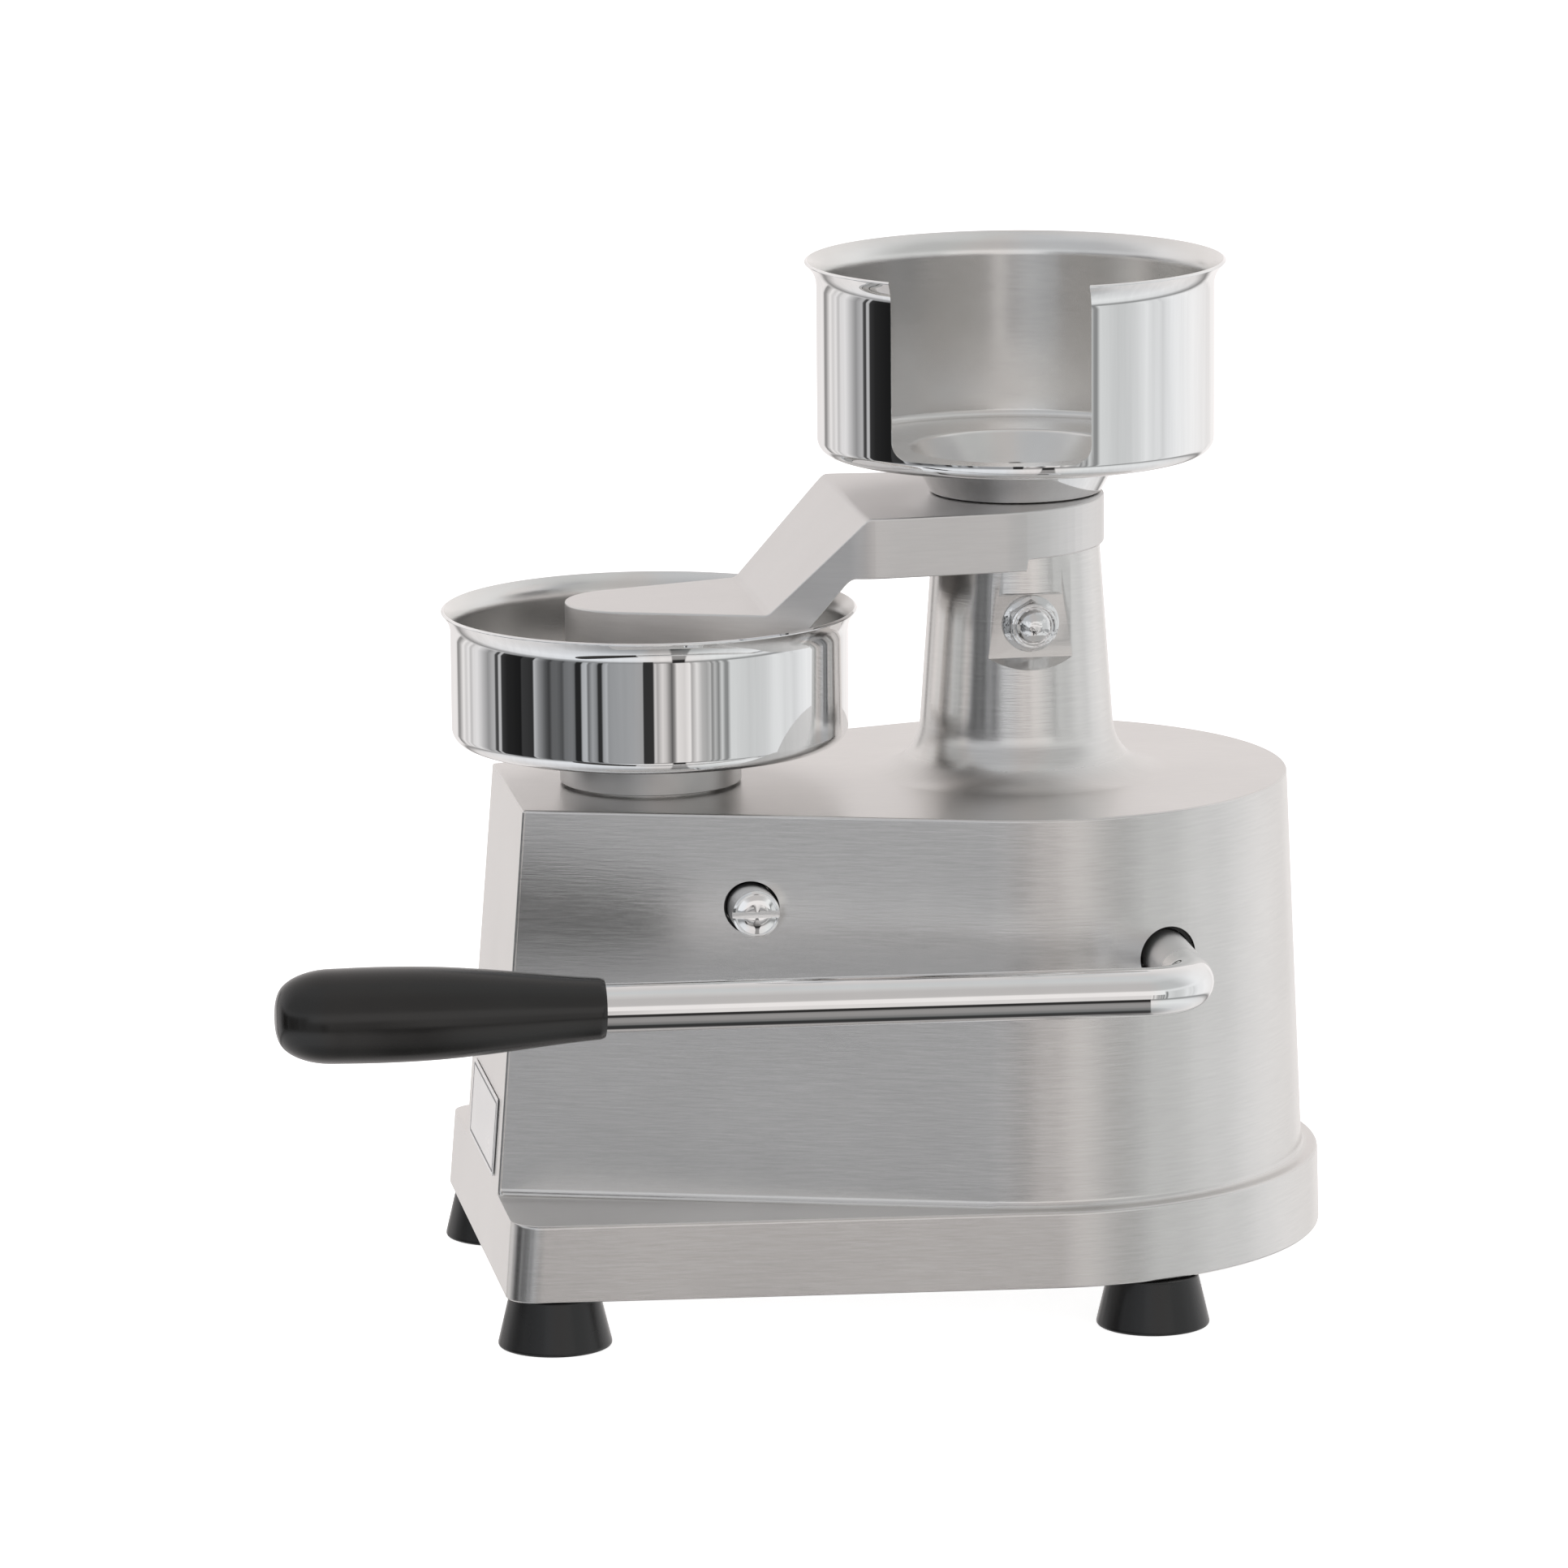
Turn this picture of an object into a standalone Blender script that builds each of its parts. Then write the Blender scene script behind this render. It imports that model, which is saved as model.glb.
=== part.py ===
"""Manual patty press: a two-pan burger press with a cast base, a side lever and a plate ejector.

Units are metres, +Z is up.  Every mesh is written in press coordinates: the mould's axis is x = y = 0,
the floor is z = 0, the operator stands at -X and the lever is on the -Y side.  The "press" empty then
puts the middle of the whole object's footprint on the world origin.
"""

import bmesh
import bpy
from math import acos, atan2, cos, hypot, pi, radians, sin, tan
from mathutils import Matrix, Vector

# ---- driving dimensions -------------------------------------------------------------------------
GAP = 0.0003

# Cross bores are rolled a little about their own axis, so that their corners miss those they cut.
ROLL = 0.11

FOOT_HEIGHT = 0.0175
PLINTH_TOP_Z = 0.0435
BODY_TOP_Z = 0.173
WALL = 0.006
ROUND_END_X = 0.1258
FRONT_TOP_X = -0.0485
FRONT_SLOPE = 0.0804
BODY_TOP_HALF, BODY_TOP_R = 0.0420, 0.0898
BODY_FOOT_HALF, BODY_FOOT_R = 0.0445, 0.0952
PLINTH_TOP_HALF, PLINTH_TOP_R = 0.0895, 0.1006
PLINTH_FOOT_HALF, PLINTH_FOOT_R = 0.0905, 0.1012
BODY_CORNER_R = 0.002
PLINTH_CORNER_R = 0.009

COLUMN_X = 0.1245
COLUMN_TOP_Z = 0.2510
COLUMN_TOP_R = 0.0281
COLUMN_TAPER = 0.072
COLUMN_FILLET = 0.014
COLUMN_BORE_R = 0.0133
BUSH_BOSS_R = 0.020
BUSH_BOSS_Z = 0.152

PAN_R = 0.0665
PAN_WALL = 0.0015
MOULD_FLOOR_Z = 0.1876
MOULD_RIM_Z = 0.2325
MOULD_RIM_R = 0.0697
HOLDER_FLOOR_Z = 0.2813
HOLDER_RIM_Z = 0.3462
HOLDER_RIM_R = 0.0706
HOLDER_SEAT_R = 0.0286
HOLDER_SEAT_TOP_R = 0.0360
MOULD_BASE_R = 0.0304
MOULD_BOSS_TOP_Z = 0.1755
MOULD_SCREW_CIRCLE_R = 0.022
MOULD_SCREW_ANGLES = (90, 210, 330)

ARM_TOP_Z = 0.2676
ARM_RIM_Z = 0.2475
ARM_RELIEF_Z = 0.2513
ARM_PAD_TOP_Z = 0.2348
ARM_PAD_FLOOR_Z = 0.2148
ARM_STEP_X = 0.1206

SHAFT_X = 0.1599
SHAFT_Z = 0.1246
SHAFT_R = 0.008
SHAFT_LEFT_END_Y = 0.083
SHAFT_BORE_R = 0.010
ROD_Y = -0.1374
ROD_BEND_R = 0.018
ROD_END_X = -0.108
LEVER_TILT = radians(0.7)
GRIP_MOUTH_X = -0.0347
GRIP_TIP_X = -0.1406
GRIP_R = 0.0157

PIVOT_X = 0.0243
PIVOT_Z = 0.1421
PIVOT_R = 0.0079

# The lever swings 60 degrees.  Both cranks stand 30 degrees before the middle of their swing at rest.
CRANK_START = radians(-30)
LINK_CRANK = 0.034
PLUNGER_R = 0.011
PLUNGER_PIN_R = 0.004
PLUNGER_PIN_Z = SHAFT_Z + (SHAFT_X - COLUMN_X) * tan(CRANK_START)
PLUNGER_TOP_Z = 0.2610
EJECTOR_R = 0.007
EJECTOR_PIN_R = 0.003
EJECTOR_PIN_Z = PIVOT_Z + PIVOT_X * tan(CRANK_START)
ARM_PLATE_HALF = 0.003
DOWN_ARM_Y = (0.013, 0.019)
LINK_Y = (0.0203, 0.0243)
HUB_Y = (-0.004, 0.0200)

GUIDE_BOLT_Z = 0.2272
SPOT_FACE_Y = -0.0271
SPOT_FACE_Z = (0.2157, 0.2376)

FOOT_R = 0.0189
REAR_FOOT_Y = 0.084
FEET = {
    "front_right": (-0.0441, -0.075),
    "front_left": (-0.0441, 0.075),
    "rear_right": (0.1550, -REAR_FOOT_Y),
    "rear_left": (0.1550, REAR_FOOT_Y),
}

# Screws are 5 mm in clearance holes, and cutters run a little past the faces they open.
SCREW_R = 0.0025
SCREW_HOLE_R = 0.0028
OVERRUN = 0.002

# Bosses inside the casting as (radius, distance of the inner end from the middle plane).
SHAFT_BOSS = (0.015, 0.066)
PIVOT_BOSS = (0.0125, 0.050)
BEYOND_WALL_Y = 0.100
FOOT_BOSS_R = 0.008
FOOT_BOSS_TOP_Z = 0.060
FOOT_SCREW_TIP_Z = 0.0320
PIVOT_MOUTH_R = 0.0089
PIVOT_MOUTH_Y = 0.0607

MOULD_BORE_LOW_Z = 0.155
EJECTOR_BUSH_R = 0.0100
EJECTOR_BUSH_LOW_Z = 0.1620
MOULD_SCREW_TIP_Z = 0.1620
BOLT_R = 0.0050
BOLT_DOG_R = 0.0030
BOLT_TIP_Y = 0.0082
HOLDER_SCREW_R = 0.0040
HOLDER_SCREW_TIP_Z = 0.2400
ARM_BORE_Z = 0.2580
ARM_POCKET_R = 0.0320
PRESS_SCREW_TIP_Z = 0.2260
PRESS_PLATE_R = 0.0640
PRESS_PLATE_Z = (0.2050, 0.2090)
EJECTOR_PLATE_R = 0.0640
EJECTOR_PLATE_Z = (0.1919, 0.1939)
LINK_PIN_R = 0.0030
LINK_HOLE_R = 0.0033

# The whole object's footprint runs from the grip's tip to the plinth's round end, and from the grip's
# outer side to the far rear foot.  The press is shifted so that its middle is the world origin.
PRESS_X = -(GRIP_TIP_X + ROUND_END_X + PLINTH_FOOT_R) / 2
PRESS_Y = -(ROD_Y - GRIP_R + REAR_FOOT_Y + FOOT_R) / 2

# ---- mesh tools ---------------------------------------------------------------------------------


def clear_scene():
    for item in list(bpy.data.objects):
        bpy.data.objects.remove(item, do_unlink=True)


def finished(bm):
    bmesh.ops.recalc_face_normals(bm, faces=bm.faces)
    return bm


def turned(profile, segments=32):
    """Revolve a closed (radius, height) loop about Z."""
    bm = bmesh.new()
    rings = []
    for radius, height in profile:
        if radius < 1e-6:
            rings.append([bm.verts.new((0, 0, height))])
            continue
        angles = [2 * pi * step / segments for step in range(segments)]
        rings.append([bm.verts.new((radius * cos(a), radius * sin(a), height)) for a in angles])
    for ring, following in zip(rings, rings[1:] + rings[:1]):
        if len(ring) == len(following) == 1:
            continue
        for step in range(segments):
            corners = [
                ring[step % len(ring)],
                ring[(step + 1) % len(ring)],
                following[(step + 1) % len(following)],
                following[step % len(following)],
            ]
            bm.faces.new(list(dict.fromkeys(corners)))
    return finished(bm)


def loft(rings):
    """Skin equal rings of points and cap both ends."""
    bm = bmesh.new()
    loops = [[bm.verts.new(point) for point in ring] for ring in rings]
    bm.faces.new(loops[0])
    bm.faces.new(loops[-1])
    count = len(loops[0])
    for lower, upper in zip(loops, loops[1:]):
        for i in range(count):
            j = (i + 1) % count
            bm.faces.new((lower[i], lower[j], upper[j], upper[i]))
    return finished(bm)


def plate(outline_xz, y_from, y_to):
    """A flat plate standing in the XZ plane."""
    return loft([[(x, y, z) for x, z in outline_xz] for y in (y_from, y_to)])


def slab(outline_xy, z_from, z_to):
    return loft([[(x, y, z) for x, y in outline_xy] for z in (z_from, z_to)])


def rod(radius, start, end, segments=24):
    return turned([(0, start), (radius, start), (radius, end), (0, end)], segments)


def tube(inner, outer, start, end, segments=32):
    return turned([(inner, start), (outer, start), (outer, end), (inner, end)], segments)


def moved(bm, matrix):
    bm.transform(matrix)
    return bm


def at(x, y, z):
    return Matrix.Translation((x, y, z))


def towards_right(x, z, roll=ROLL):
    """Lay the Z axis along -Y, the operator's right, through (x, z)."""
    return at(x, 0, z) @ Matrix.Rotation(pi / 2, 4, "X") @ Matrix.Rotation(roll, 4, "Z")


def towards_rear(y, z, x=0.0, roll=ROLL):
    """Lay the Z axis along +X through (y, z)."""
    return at(x, y, z) @ Matrix.Rotation(pi / 2, 4, "Y") @ Matrix.Rotation(roll, 4, "Z")


def turn_about_y(angle, x, z):
    return at(x, 0, z) @ Matrix.Rotation(angle, 4, "Y") @ at(-x, 0, -z)


def merged(*parts):
    """Several separate shells in one mesh, for cutters."""
    bm = bmesh.new()
    for part in parts:
        mesh = bpy.data.meshes.new("shell")
        part.to_mesh(mesh)
        part.free()
        bm.from_mesh(mesh)
        bpy.data.meshes.remove(mesh)
    return bm


def arc(centre, radius, start_deg, end_deg, steps):
    """Points from start to end on a circle, both ends included."""
    angles = [radians(start_deg + (end_deg - start_deg) * i / steps) for i in range(steps + 1)]
    return [(centre[0] + radius * cos(a), centre[1] + radius * sin(a)) for a in angles]


def two_circle_outline(first, first_r, second, second_r, steps=7):
    """Outline of a bar with two round ends of different radius."""
    along = atan2(second[1] - first[1], second[0] - first[0])
    lean = acos((first_r - second_r) / hypot(second[0] - first[0], second[1] - first[1]))
    outline = []
    for centre, radius, begin, span in (
        (first, first_r, along + lean, 2 * pi - 2 * lean),
        (second, second_r, along - lean, 2 * lean),
    ):
        for i in range(steps + 1):
            angle = begin + span * i / steps
            outline.append((centre[0] + radius * cos(angle), centre[1] + radius * sin(angle)))
    return outline


# ---- objects ------------------------------------------------------------------------------------

MATERIALS = {
    "cast_aluminium": ((0.70, 0.69, 0.68), 0.38, 1.0),
    "polished_steel": ((0.86, 0.87, 0.88), 0.06, 1.0),
    "brushed_steel": ((0.72, 0.71, 0.69), 0.30, 1.0),
    "chrome": ((0.88, 0.88, 0.89), 0.05, 1.0),
    "fastener_steel": ((0.78, 0.78, 0.77), 0.20, 1.0),
    "bronze": ((0.66, 0.46, 0.22), 0.35, 1.0),
    "grip_plastic": ((0.02, 0.02, 0.02), 0.25, 0.0),
    "bush_plastic": ((0.03, 0.03, 0.03), 0.45, 0.0),
    "foot_rubber": ((0.015, 0.015, 0.015), 0.40, 0.0),
    "label": ((0.85, 0.85, 0.85), 0.30, 0.0),
}


def make_materials():
    for name, (colour, roughness, metallic) in MATERIALS.items():
        material = bpy.data.materials.new(name)
        material.use_nodes = True
        shader = material.node_tree.nodes["Principled BSDF"]
        shader.inputs["Base Color"].default_value = (*colour, 1.0)
        shader.inputs["Roughness"].default_value = roughness
        shader.inputs["Metallic"].default_value = metallic


def new_axis(name, location, parent=None):
    empty = bpy.data.objects.new(name, None)
    empty.location = location
    empty.parent = parent
    bpy.context.collection.objects.link(empty)
    return empty


def new_object(name, bm, material, axis):
    """A named solid whose mesh stays in press coordinates while its parent sits on the joint axis."""
    mesh = bpy.data.meshes.new(name)
    bm.to_mesh(mesh)
    bm.free()
    mesh.materials.append(bpy.data.materials[material])
    mesh.shade_smooth()
    mesh.set_sharp_from_angle(angle=radians(35))
    item = bpy.data.objects.new(name, mesh)
    item.parent = axis
    if axis.parent:
        item.location = -axis.location
    bpy.context.collection.objects.link(item)
    return item


def combine(item, operation, bm, tool_name):
    """Add a Boolean whose tool is a hidden helper beside the item."""
    mesh = bpy.data.meshes.new(tool_name)
    bm.to_mesh(mesh)
    bm.free()
    tool = bpy.data.objects.new(tool_name, mesh)
    tool.parent = item.parent
    tool.location = item.location
    tool.hide_render = True
    tool.display_type = "WIRE"
    bpy.context.collection.objects.link(tool)
    modifier = item.modifiers.new(tool_name, "BOOLEAN")
    modifier.operation = operation
    modifier.solver = "EXACT"
    modifier.object = tool
    return tool


# ---- base casting -------------------------------------------------------------------------------


def front_x(z):
    """The sloping front plane shared by the body and the plinth."""
    return FRONT_TOP_X - (BODY_TOP_Z - z) * FRONT_SLOPE


def base_outline(z, half, radius, corner_r, inset=0.0):
    """Plan outline: a flat front, two straight sides and a round rear end."""
    x0 = front_x(z)
    reach = hypot(ROUND_END_X - x0, half)
    side = atan2(half, x0 - ROUND_END_X) - acos(radius / reach)
    slope = pi / 2 - side
    x0 += inset
    half += inset * (tan(slope) - 1 / cos(slope))
    radius -= inset
    corner_r = max(corner_r - inset, 0.001)
    turn = pi / 2 - slope
    back = corner_r * tan(turn / 2)
    corner = arc((x0 + corner_r, half - back), corner_r, 180, 180 - turn * 180 / pi, 2)
    round_end = arc((ROUND_END_X, 0), radius, side * 180 / pi, 0, 11)
    left = corner + round_end
    points = left + [(x, -y) for x, y in reversed(left[:-1])]
    return [(x, y, z) for x, y in points]


def base_shell():
    """Plinth and body as one open-bottomed shell, built as a stack of rings."""
    floor_z = PLINTH_TOP_Z - WALL
    roof_z = BODY_TOP_Z - WALL - 0.001
    step = 0.0001
    rings = [
        base_outline(BODY_TOP_Z, BODY_TOP_HALF, BODY_TOP_R, BODY_CORNER_R),
        base_outline(PLINTH_TOP_Z, BODY_FOOT_HALF, BODY_FOOT_R, BODY_CORNER_R, step),
        base_outline(PLINTH_TOP_Z, PLINTH_TOP_HALF, PLINTH_TOP_R, PLINTH_CORNER_R),
        base_outline(FOOT_HEIGHT, PLINTH_FOOT_HALF, PLINTH_FOOT_R, PLINTH_CORNER_R),
        base_outline(FOOT_HEIGHT, PLINTH_FOOT_HALF, PLINTH_FOOT_R, PLINTH_CORNER_R, WALL),
        base_outline(floor_z, PLINTH_TOP_HALF, PLINTH_TOP_R, PLINTH_CORNER_R, WALL),
        base_outline(floor_z, BODY_FOOT_HALF, BODY_FOOT_R, BODY_CORNER_R, WALL + step),
        base_outline(roof_z, BODY_TOP_HALF, BODY_TOP_R, BODY_CORNER_R, WALL),
    ]
    return loft(rings)


def column_solid():
    """The tapered column, its foot fillet and the bush boss that hangs under the roof."""
    foot_r = COLUMN_TOP_R + COLUMN_TAPER * (COLUMN_TOP_Z - BODY_TOP_Z - COLUMN_FILLET)
    fillet = arc((foot_r + COLUMN_FILLET, BODY_TOP_Z + COLUMN_FILLET), COLUMN_FILLET, 267, 186, 4)
    embed_z = BODY_TOP_Z - 0.004
    profile = [(0, BUSH_BOSS_Z), (BUSH_BOSS_R, BUSH_BOSS_Z), (BUSH_BOSS_R, embed_z)]
    profile += [(fillet[0][0], embed_z)] + fillet
    profile += [(COLUMN_TOP_R, COLUMN_TOP_Z), (0, COLUMN_TOP_Z)]
    return moved(turned(profile, 32), at(COLUMN_X, 0, 0))


def mould_boss():
    embed_z = BODY_TOP_Z - 0.003
    profile = [(0, embed_z), (MOULD_BASE_R, embed_z), (MOULD_BASE_R, MOULD_BOSS_TOP_Z)]
    return turned(profile + [(0, MOULD_BOSS_TOP_Z)], 32)


def inner_bosses():
    """Bearing bosses behind the side walls and a screw boss over each foot."""
    bosses = []
    roll = 0.05
    for x, z, (radius, inner_y) in ((SHAFT_X, SHAFT_Z, SHAFT_BOSS), (PIVOT_X, PIVOT_Z, PIVOT_BOSS)):
        bosses.append(moved(rod(radius, inner_y, BEYOND_WALL_Y, 16), towards_right(x, z, roll)))
        bosses.append(moved(rod(radius, -BEYOND_WALL_Y, -inner_y, 16), towards_right(x, z, roll)))
    for x, y in FEET.values():
        bosses.append(moved(rod(FOOT_BOSS_R, FOOT_HEIGHT, FOOT_BOSS_TOP_Z, 10), at(x, y, 0)))
    return merged(*bosses)


def body_core():
    """The casting's outside brought in to the middle of its wall: it trims the bosses."""
    inset = WALL / 2
    rings = [
        base_outline(FOOT_HEIGHT, PLINTH_FOOT_HALF, PLINTH_FOOT_R, PLINTH_CORNER_R, inset),
        base_outline(PLINTH_TOP_Z - inset, PLINTH_TOP_HALF, PLINTH_TOP_R, PLINTH_CORNER_R, inset),
        base_outline(PLINTH_TOP_Z - inset, BODY_FOOT_HALF, BODY_FOOT_R, BODY_CORNER_R, inset + 0.0001),
        base_outline(BODY_TOP_Z - inset, BODY_TOP_HALF, BODY_TOP_R, BODY_CORNER_R, inset),
    ]
    return loft(rings)


def spot_face():
    """The flat milled on the column for the guide bolt, with a 45 degree run-out below."""
    low, high = SPOT_FACE_Z
    depth = 0.012
    outline = [
        (SPOT_FACE_Y, low),
        (SPOT_FACE_Y - depth, low - depth),
        (SPOT_FACE_Y - depth, high),
        (SPOT_FACE_Y, high),
    ]
    half = 0.020
    return loft([[(x, y, z) for y, z in outline] for x in (COLUMN_X - half, COLUMN_X + half)])


def base_bores():
    bores = [
        moved(rod(COLUMN_BORE_R, BUSH_BOSS_Z - OVERRUN, COLUMN_TOP_Z + OVERRUN, 24), at(COLUMN_X, 0, 0)),
        rod(EJECTOR_BUSH_R + GAP, MOULD_BORE_LOW_Z, MOULD_BOSS_TOP_Z + OVERRUN, 24),
    ]
    for sign in (1, -1):
        ends = sorted((sign * 0.055, sign * 0.105))
        bores.append(moved(rod(SHAFT_BORE_R, *ends, 20), towards_right(SHAFT_X, SHAFT_Z)))
        bore_r, start_y, end_y = PIVOT_R + GAP, 0.044, 0.090
        inner = [(0, sign * start_y), (bore_r, sign * start_y), (bore_r, sign * PIVOT_MOUTH_Y)]
        outer = [(PIVOT_MOUTH_R, sign * PIVOT_MOUTH_Y), (PIVOT_MOUTH_R, sign * end_y), (0, sign * end_y)]
        bores.append(moved(turned(inner + outer, 20), towards_right(PIVOT_X, PIVOT_Z)))
    for angle in MOULD_SCREW_ANGLES:
        hole = rod(SCREW_HOLE_R, MOULD_BORE_LOW_Z, MOULD_BOSS_TOP_Z + OVERRUN, 8)
        bores.append(moved(hole, mould_screw_place(angle)))
    for x, y in FEET.values():
        hole = rod(SCREW_HOLE_R, FOOT_HEIGHT - 2 * OVERRUN, FOOT_SCREW_TIP_Z + OVERRUN, 8)
        bores.append(moved(hole, at(x, y, 0)))
    return merged(*bores)


def make_body_casting(axis):
    body = new_object("body_casting", base_shell(), "cast_aluminium", axis)
    combine(body, "UNION", column_solid(), "column_tool")
    combine(body, "UNION", mould_boss(), "mould_boss_tool")
    bosses = combine(body, "UNION", inner_bosses(), "inner_boss_tool")
    combine(bosses, "INTERSECT", body_core(), "body_core_tool")
    combine(body, "DIFFERENCE", spot_face(), "spot_face_tool")
    combine(body, "DIFFERENCE", base_bores(), "base_bore_tool")
    bolt_bore = moved(rod(BOLT_R + GAP, 0.008, 0.032, 16), towards_right(COLUMN_X, GUIDE_BOLT_Z))
    combine(body, "DIFFERENCE", bolt_bore, "bolt_bore_tool")


def make_name_plate(axis):
    """A blank plate on the front face, leaning with it."""
    half_width, half_height, thickness = 0.032, 0.0132, 0.0005
    middle_z = 0.0600
    corner = 0.001
    outline = []
    for sx, sz, start in ((1, 1, 0), (-1, 1, 90), (-1, -1, 180), (1, -1, 270)):
        centre = (sx * (half_width - corner), sz * (half_height - corner))
        outline += arc(centre, corner, start, start + 90, 2)
    bm = loft([[(x, y, z) for y, z in outline] for x in (-thickness, 0)])
    lean = Matrix.Rotation(atan2(FRONT_SLOPE, 1), 4, "Y")
    moved(bm, at(front_x(middle_z) - 0.0002, 0, middle_z) @ lean)
    new_object("name_plate", bm, "label", axis)


def make_feet(axis):
    hole_r, recess_r, recess_z, top_r = 0.0030, 0.0065, 0.0085, 0.0150
    head_r, head_low_z, head_top_z = 0.0048, 0.0050, recess_z - GAP
    for place, (x, y) in FEET.items():
        profile = [
            (hole_r, recess_z),
            (recess_r, recess_z),
            (recess_r, 0.0000),
            (FOOT_R - 0.0006, 0.0000),
            (FOOT_R, 0.0008),
            (top_r, FOOT_HEIGHT - GAP),
            (hole_r, FOOT_HEIGHT - GAP),
        ]
        new_object(f"foot_{place}", moved(turned(profile, 20), at(x, y, 0)), "foot_rubber", axis)
        screw = [
            (0, head_low_z),
            (head_r - 0.0018, head_low_z),
            (head_r, head_low_z + 0.0012),
            (head_r, head_top_z),
            (SCREW_R, head_top_z),
            (SCREW_R, FOOT_SCREW_TIP_Z),
            (0, FOOT_SCREW_TIP_Z),
        ]
        bm = moved(turned(screw, 8), at(x, y, 0))
        new_object(f"foot_screw_{place}", bm, "fastener_steel", axis)


# ---- pans ---------------------------------------------------------------------------------------


def pan_wall(floor_z, rim_z, rim_r):
    """Outer and inner side of a pan from its floor fillet to the flared rim, as two lists."""
    fillet = 0.0055
    flare_z = rim_z - 0.0062
    outside = arc((PAN_R - fillet, floor_z + fillet), fillet, 270, 360, 2)
    outside += [(PAN_R, flare_z), (PAN_R + 0.0007, flare_z + 0.0024), (rim_r, rim_z - 0.0006)]
    outside += [(rim_r - 0.0005, rim_z)]
    inner_r = PAN_R - PAN_WALL
    inside = [(inner_r + 0.0010, flare_z + 0.0029), (inner_r, flare_z)]
    inside += arc((PAN_R - fillet, floor_z + fillet), fillet - PAN_WALL, 360, 270, 2)
    return outside, inside


def make_mould(axis):
    outside, inside = pan_wall(MOULD_FLOOR_Z, MOULD_RIM_Z, MOULD_RIM_R)
    bore_r = 0.0078
    profile = [(bore_r, MOULD_FLOOR_Z)] + outside + inside + [(bore_r, MOULD_FLOOR_Z + PAN_WALL)]
    mould = new_object("mould_pan", turned(profile, 40), "polished_steel", axis)
    combine(mould, "DIFFERENCE", mould_screw_holes(), "mould_hole_tool")

    base = tube(EJECTOR_BUSH_R + GAP, MOULD_BASE_R, MOULD_BOSS_TOP_Z + GAP, MOULD_FLOOR_Z - GAP, 32)
    base_item = new_object("mould_base", base, "cast_aluminium", axis)
    combine(base_item, "DIFFERENCE", mould_screw_holes(), "mould_base_hole_tool")

    for number, angle in enumerate(MOULD_SCREW_ANGLES, 1):
        seat_z = MOULD_FLOOR_Z + PAN_WALL + GAP
        profile = [
            (0, MOULD_SCREW_TIP_Z),
            (SCREW_R, MOULD_SCREW_TIP_Z),
            (SCREW_R, seat_z),
            (0.0046, seat_z),
            (0.0042, seat_z + 0.0014),
            (0, seat_z + 0.0020),
        ]
        bm = moved(turned(profile, 8), mould_screw_place(angle))
        new_object(f"mould_screw_{number}", bm, "fastener_steel", axis)

    bush = tube(EJECTOR_R + GAP, EJECTOR_BUSH_R, EJECTOR_BUSH_LOW_Z, MOULD_FLOOR_Z - GAP, 24)
    new_object("ejector_bush", bush, "bronze", axis)


def mould_screw_place(angle_deg):
    angle = radians(angle_deg)
    return at(MOULD_SCREW_CIRCLE_R * cos(angle), MOULD_SCREW_CIRCLE_R * sin(angle), 0)


def mould_screw_holes():
    holes = [
        moved(rod(SCREW_HOLE_R, 0.170, 0.200, 8), mould_screw_place(angle)) for angle in MOULD_SCREW_ANGLES
    ]
    return merged(*holes)


def make_paper_holder(axis):
    """The upper pan: a dished seat on the arm, a mirror wall and a window to take papers from."""
    outside, inside = pan_wall(HOLDER_FLOOR_Z, HOLDER_RIM_Z, HOLDER_RIM_R)
    seat_z = ARM_TOP_Z + GAP
    bore_r = 0.0045
    below = [(bore_r, seat_z), (HOLDER_SEAT_R - 0.001, seat_z), (HOLDER_SEAT_R, seat_z + 0.001)]
    below += [(HOLDER_SEAT_TOP_R, HOLDER_FLOOR_Z - 0.0005), (HOLDER_SEAT_TOP_R + 0.001, HOLDER_FLOOR_Z)]
    above = [(HOLDER_SEAT_TOP_R, HOLDER_FLOOR_Z + PAN_WALL), (HOLDER_SEAT_R - 0.001, seat_z + PAN_WALL)]
    profile = below + outside + inside + above + [(bore_r, seat_z + PAN_WALL)]
    bm = moved(turned(profile, 40), at(COLUMN_X, 0, 0))
    holder = new_object("paper_holder", bm, "polished_steel", axis)

    half, sill_z, corner = 0.0332, 0.2865, 0.006
    top_z = HOLDER_RIM_Z + 0.010
    outline = [(half, top_z), (-half, top_z)]
    outline += arc((-half + corner, sill_z + corner), corner, 180, 270, 3)
    outline += arc((half - corner, sill_z + corner), corner, 270, 360, 3)
    window = plate(outline, -0.090, -0.040)
    window_turn = radians(-18.1)
    moved(window, at(COLUMN_X, 0, 0) @ Matrix.Rotation(window_turn, 4, "Z"))
    combine(holder, "DIFFERENCE", window, "window_tool")

    seat = seat_z + PAN_WALL + GAP
    head_r, head_height = 0.0076, 0.0071
    screw = [
        (0, HOLDER_SCREW_TIP_Z),
        (HOLDER_SCREW_R, HOLDER_SCREW_TIP_Z),
        (HOLDER_SCREW_R, seat),
        (head_r, seat),
        (head_r, seat + 0.0050),
        (head_r - 0.0024, seat + head_height - 0.0005),
        (0, seat + head_height),
    ]
    bm = moved(turned(screw, 16), at(COLUMN_X, 0, 0))
    new_object("holder_screw", bm, "fastener_steel", axis)


# ---- press arm and plunger ----------------------------------------------------------------------


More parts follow.
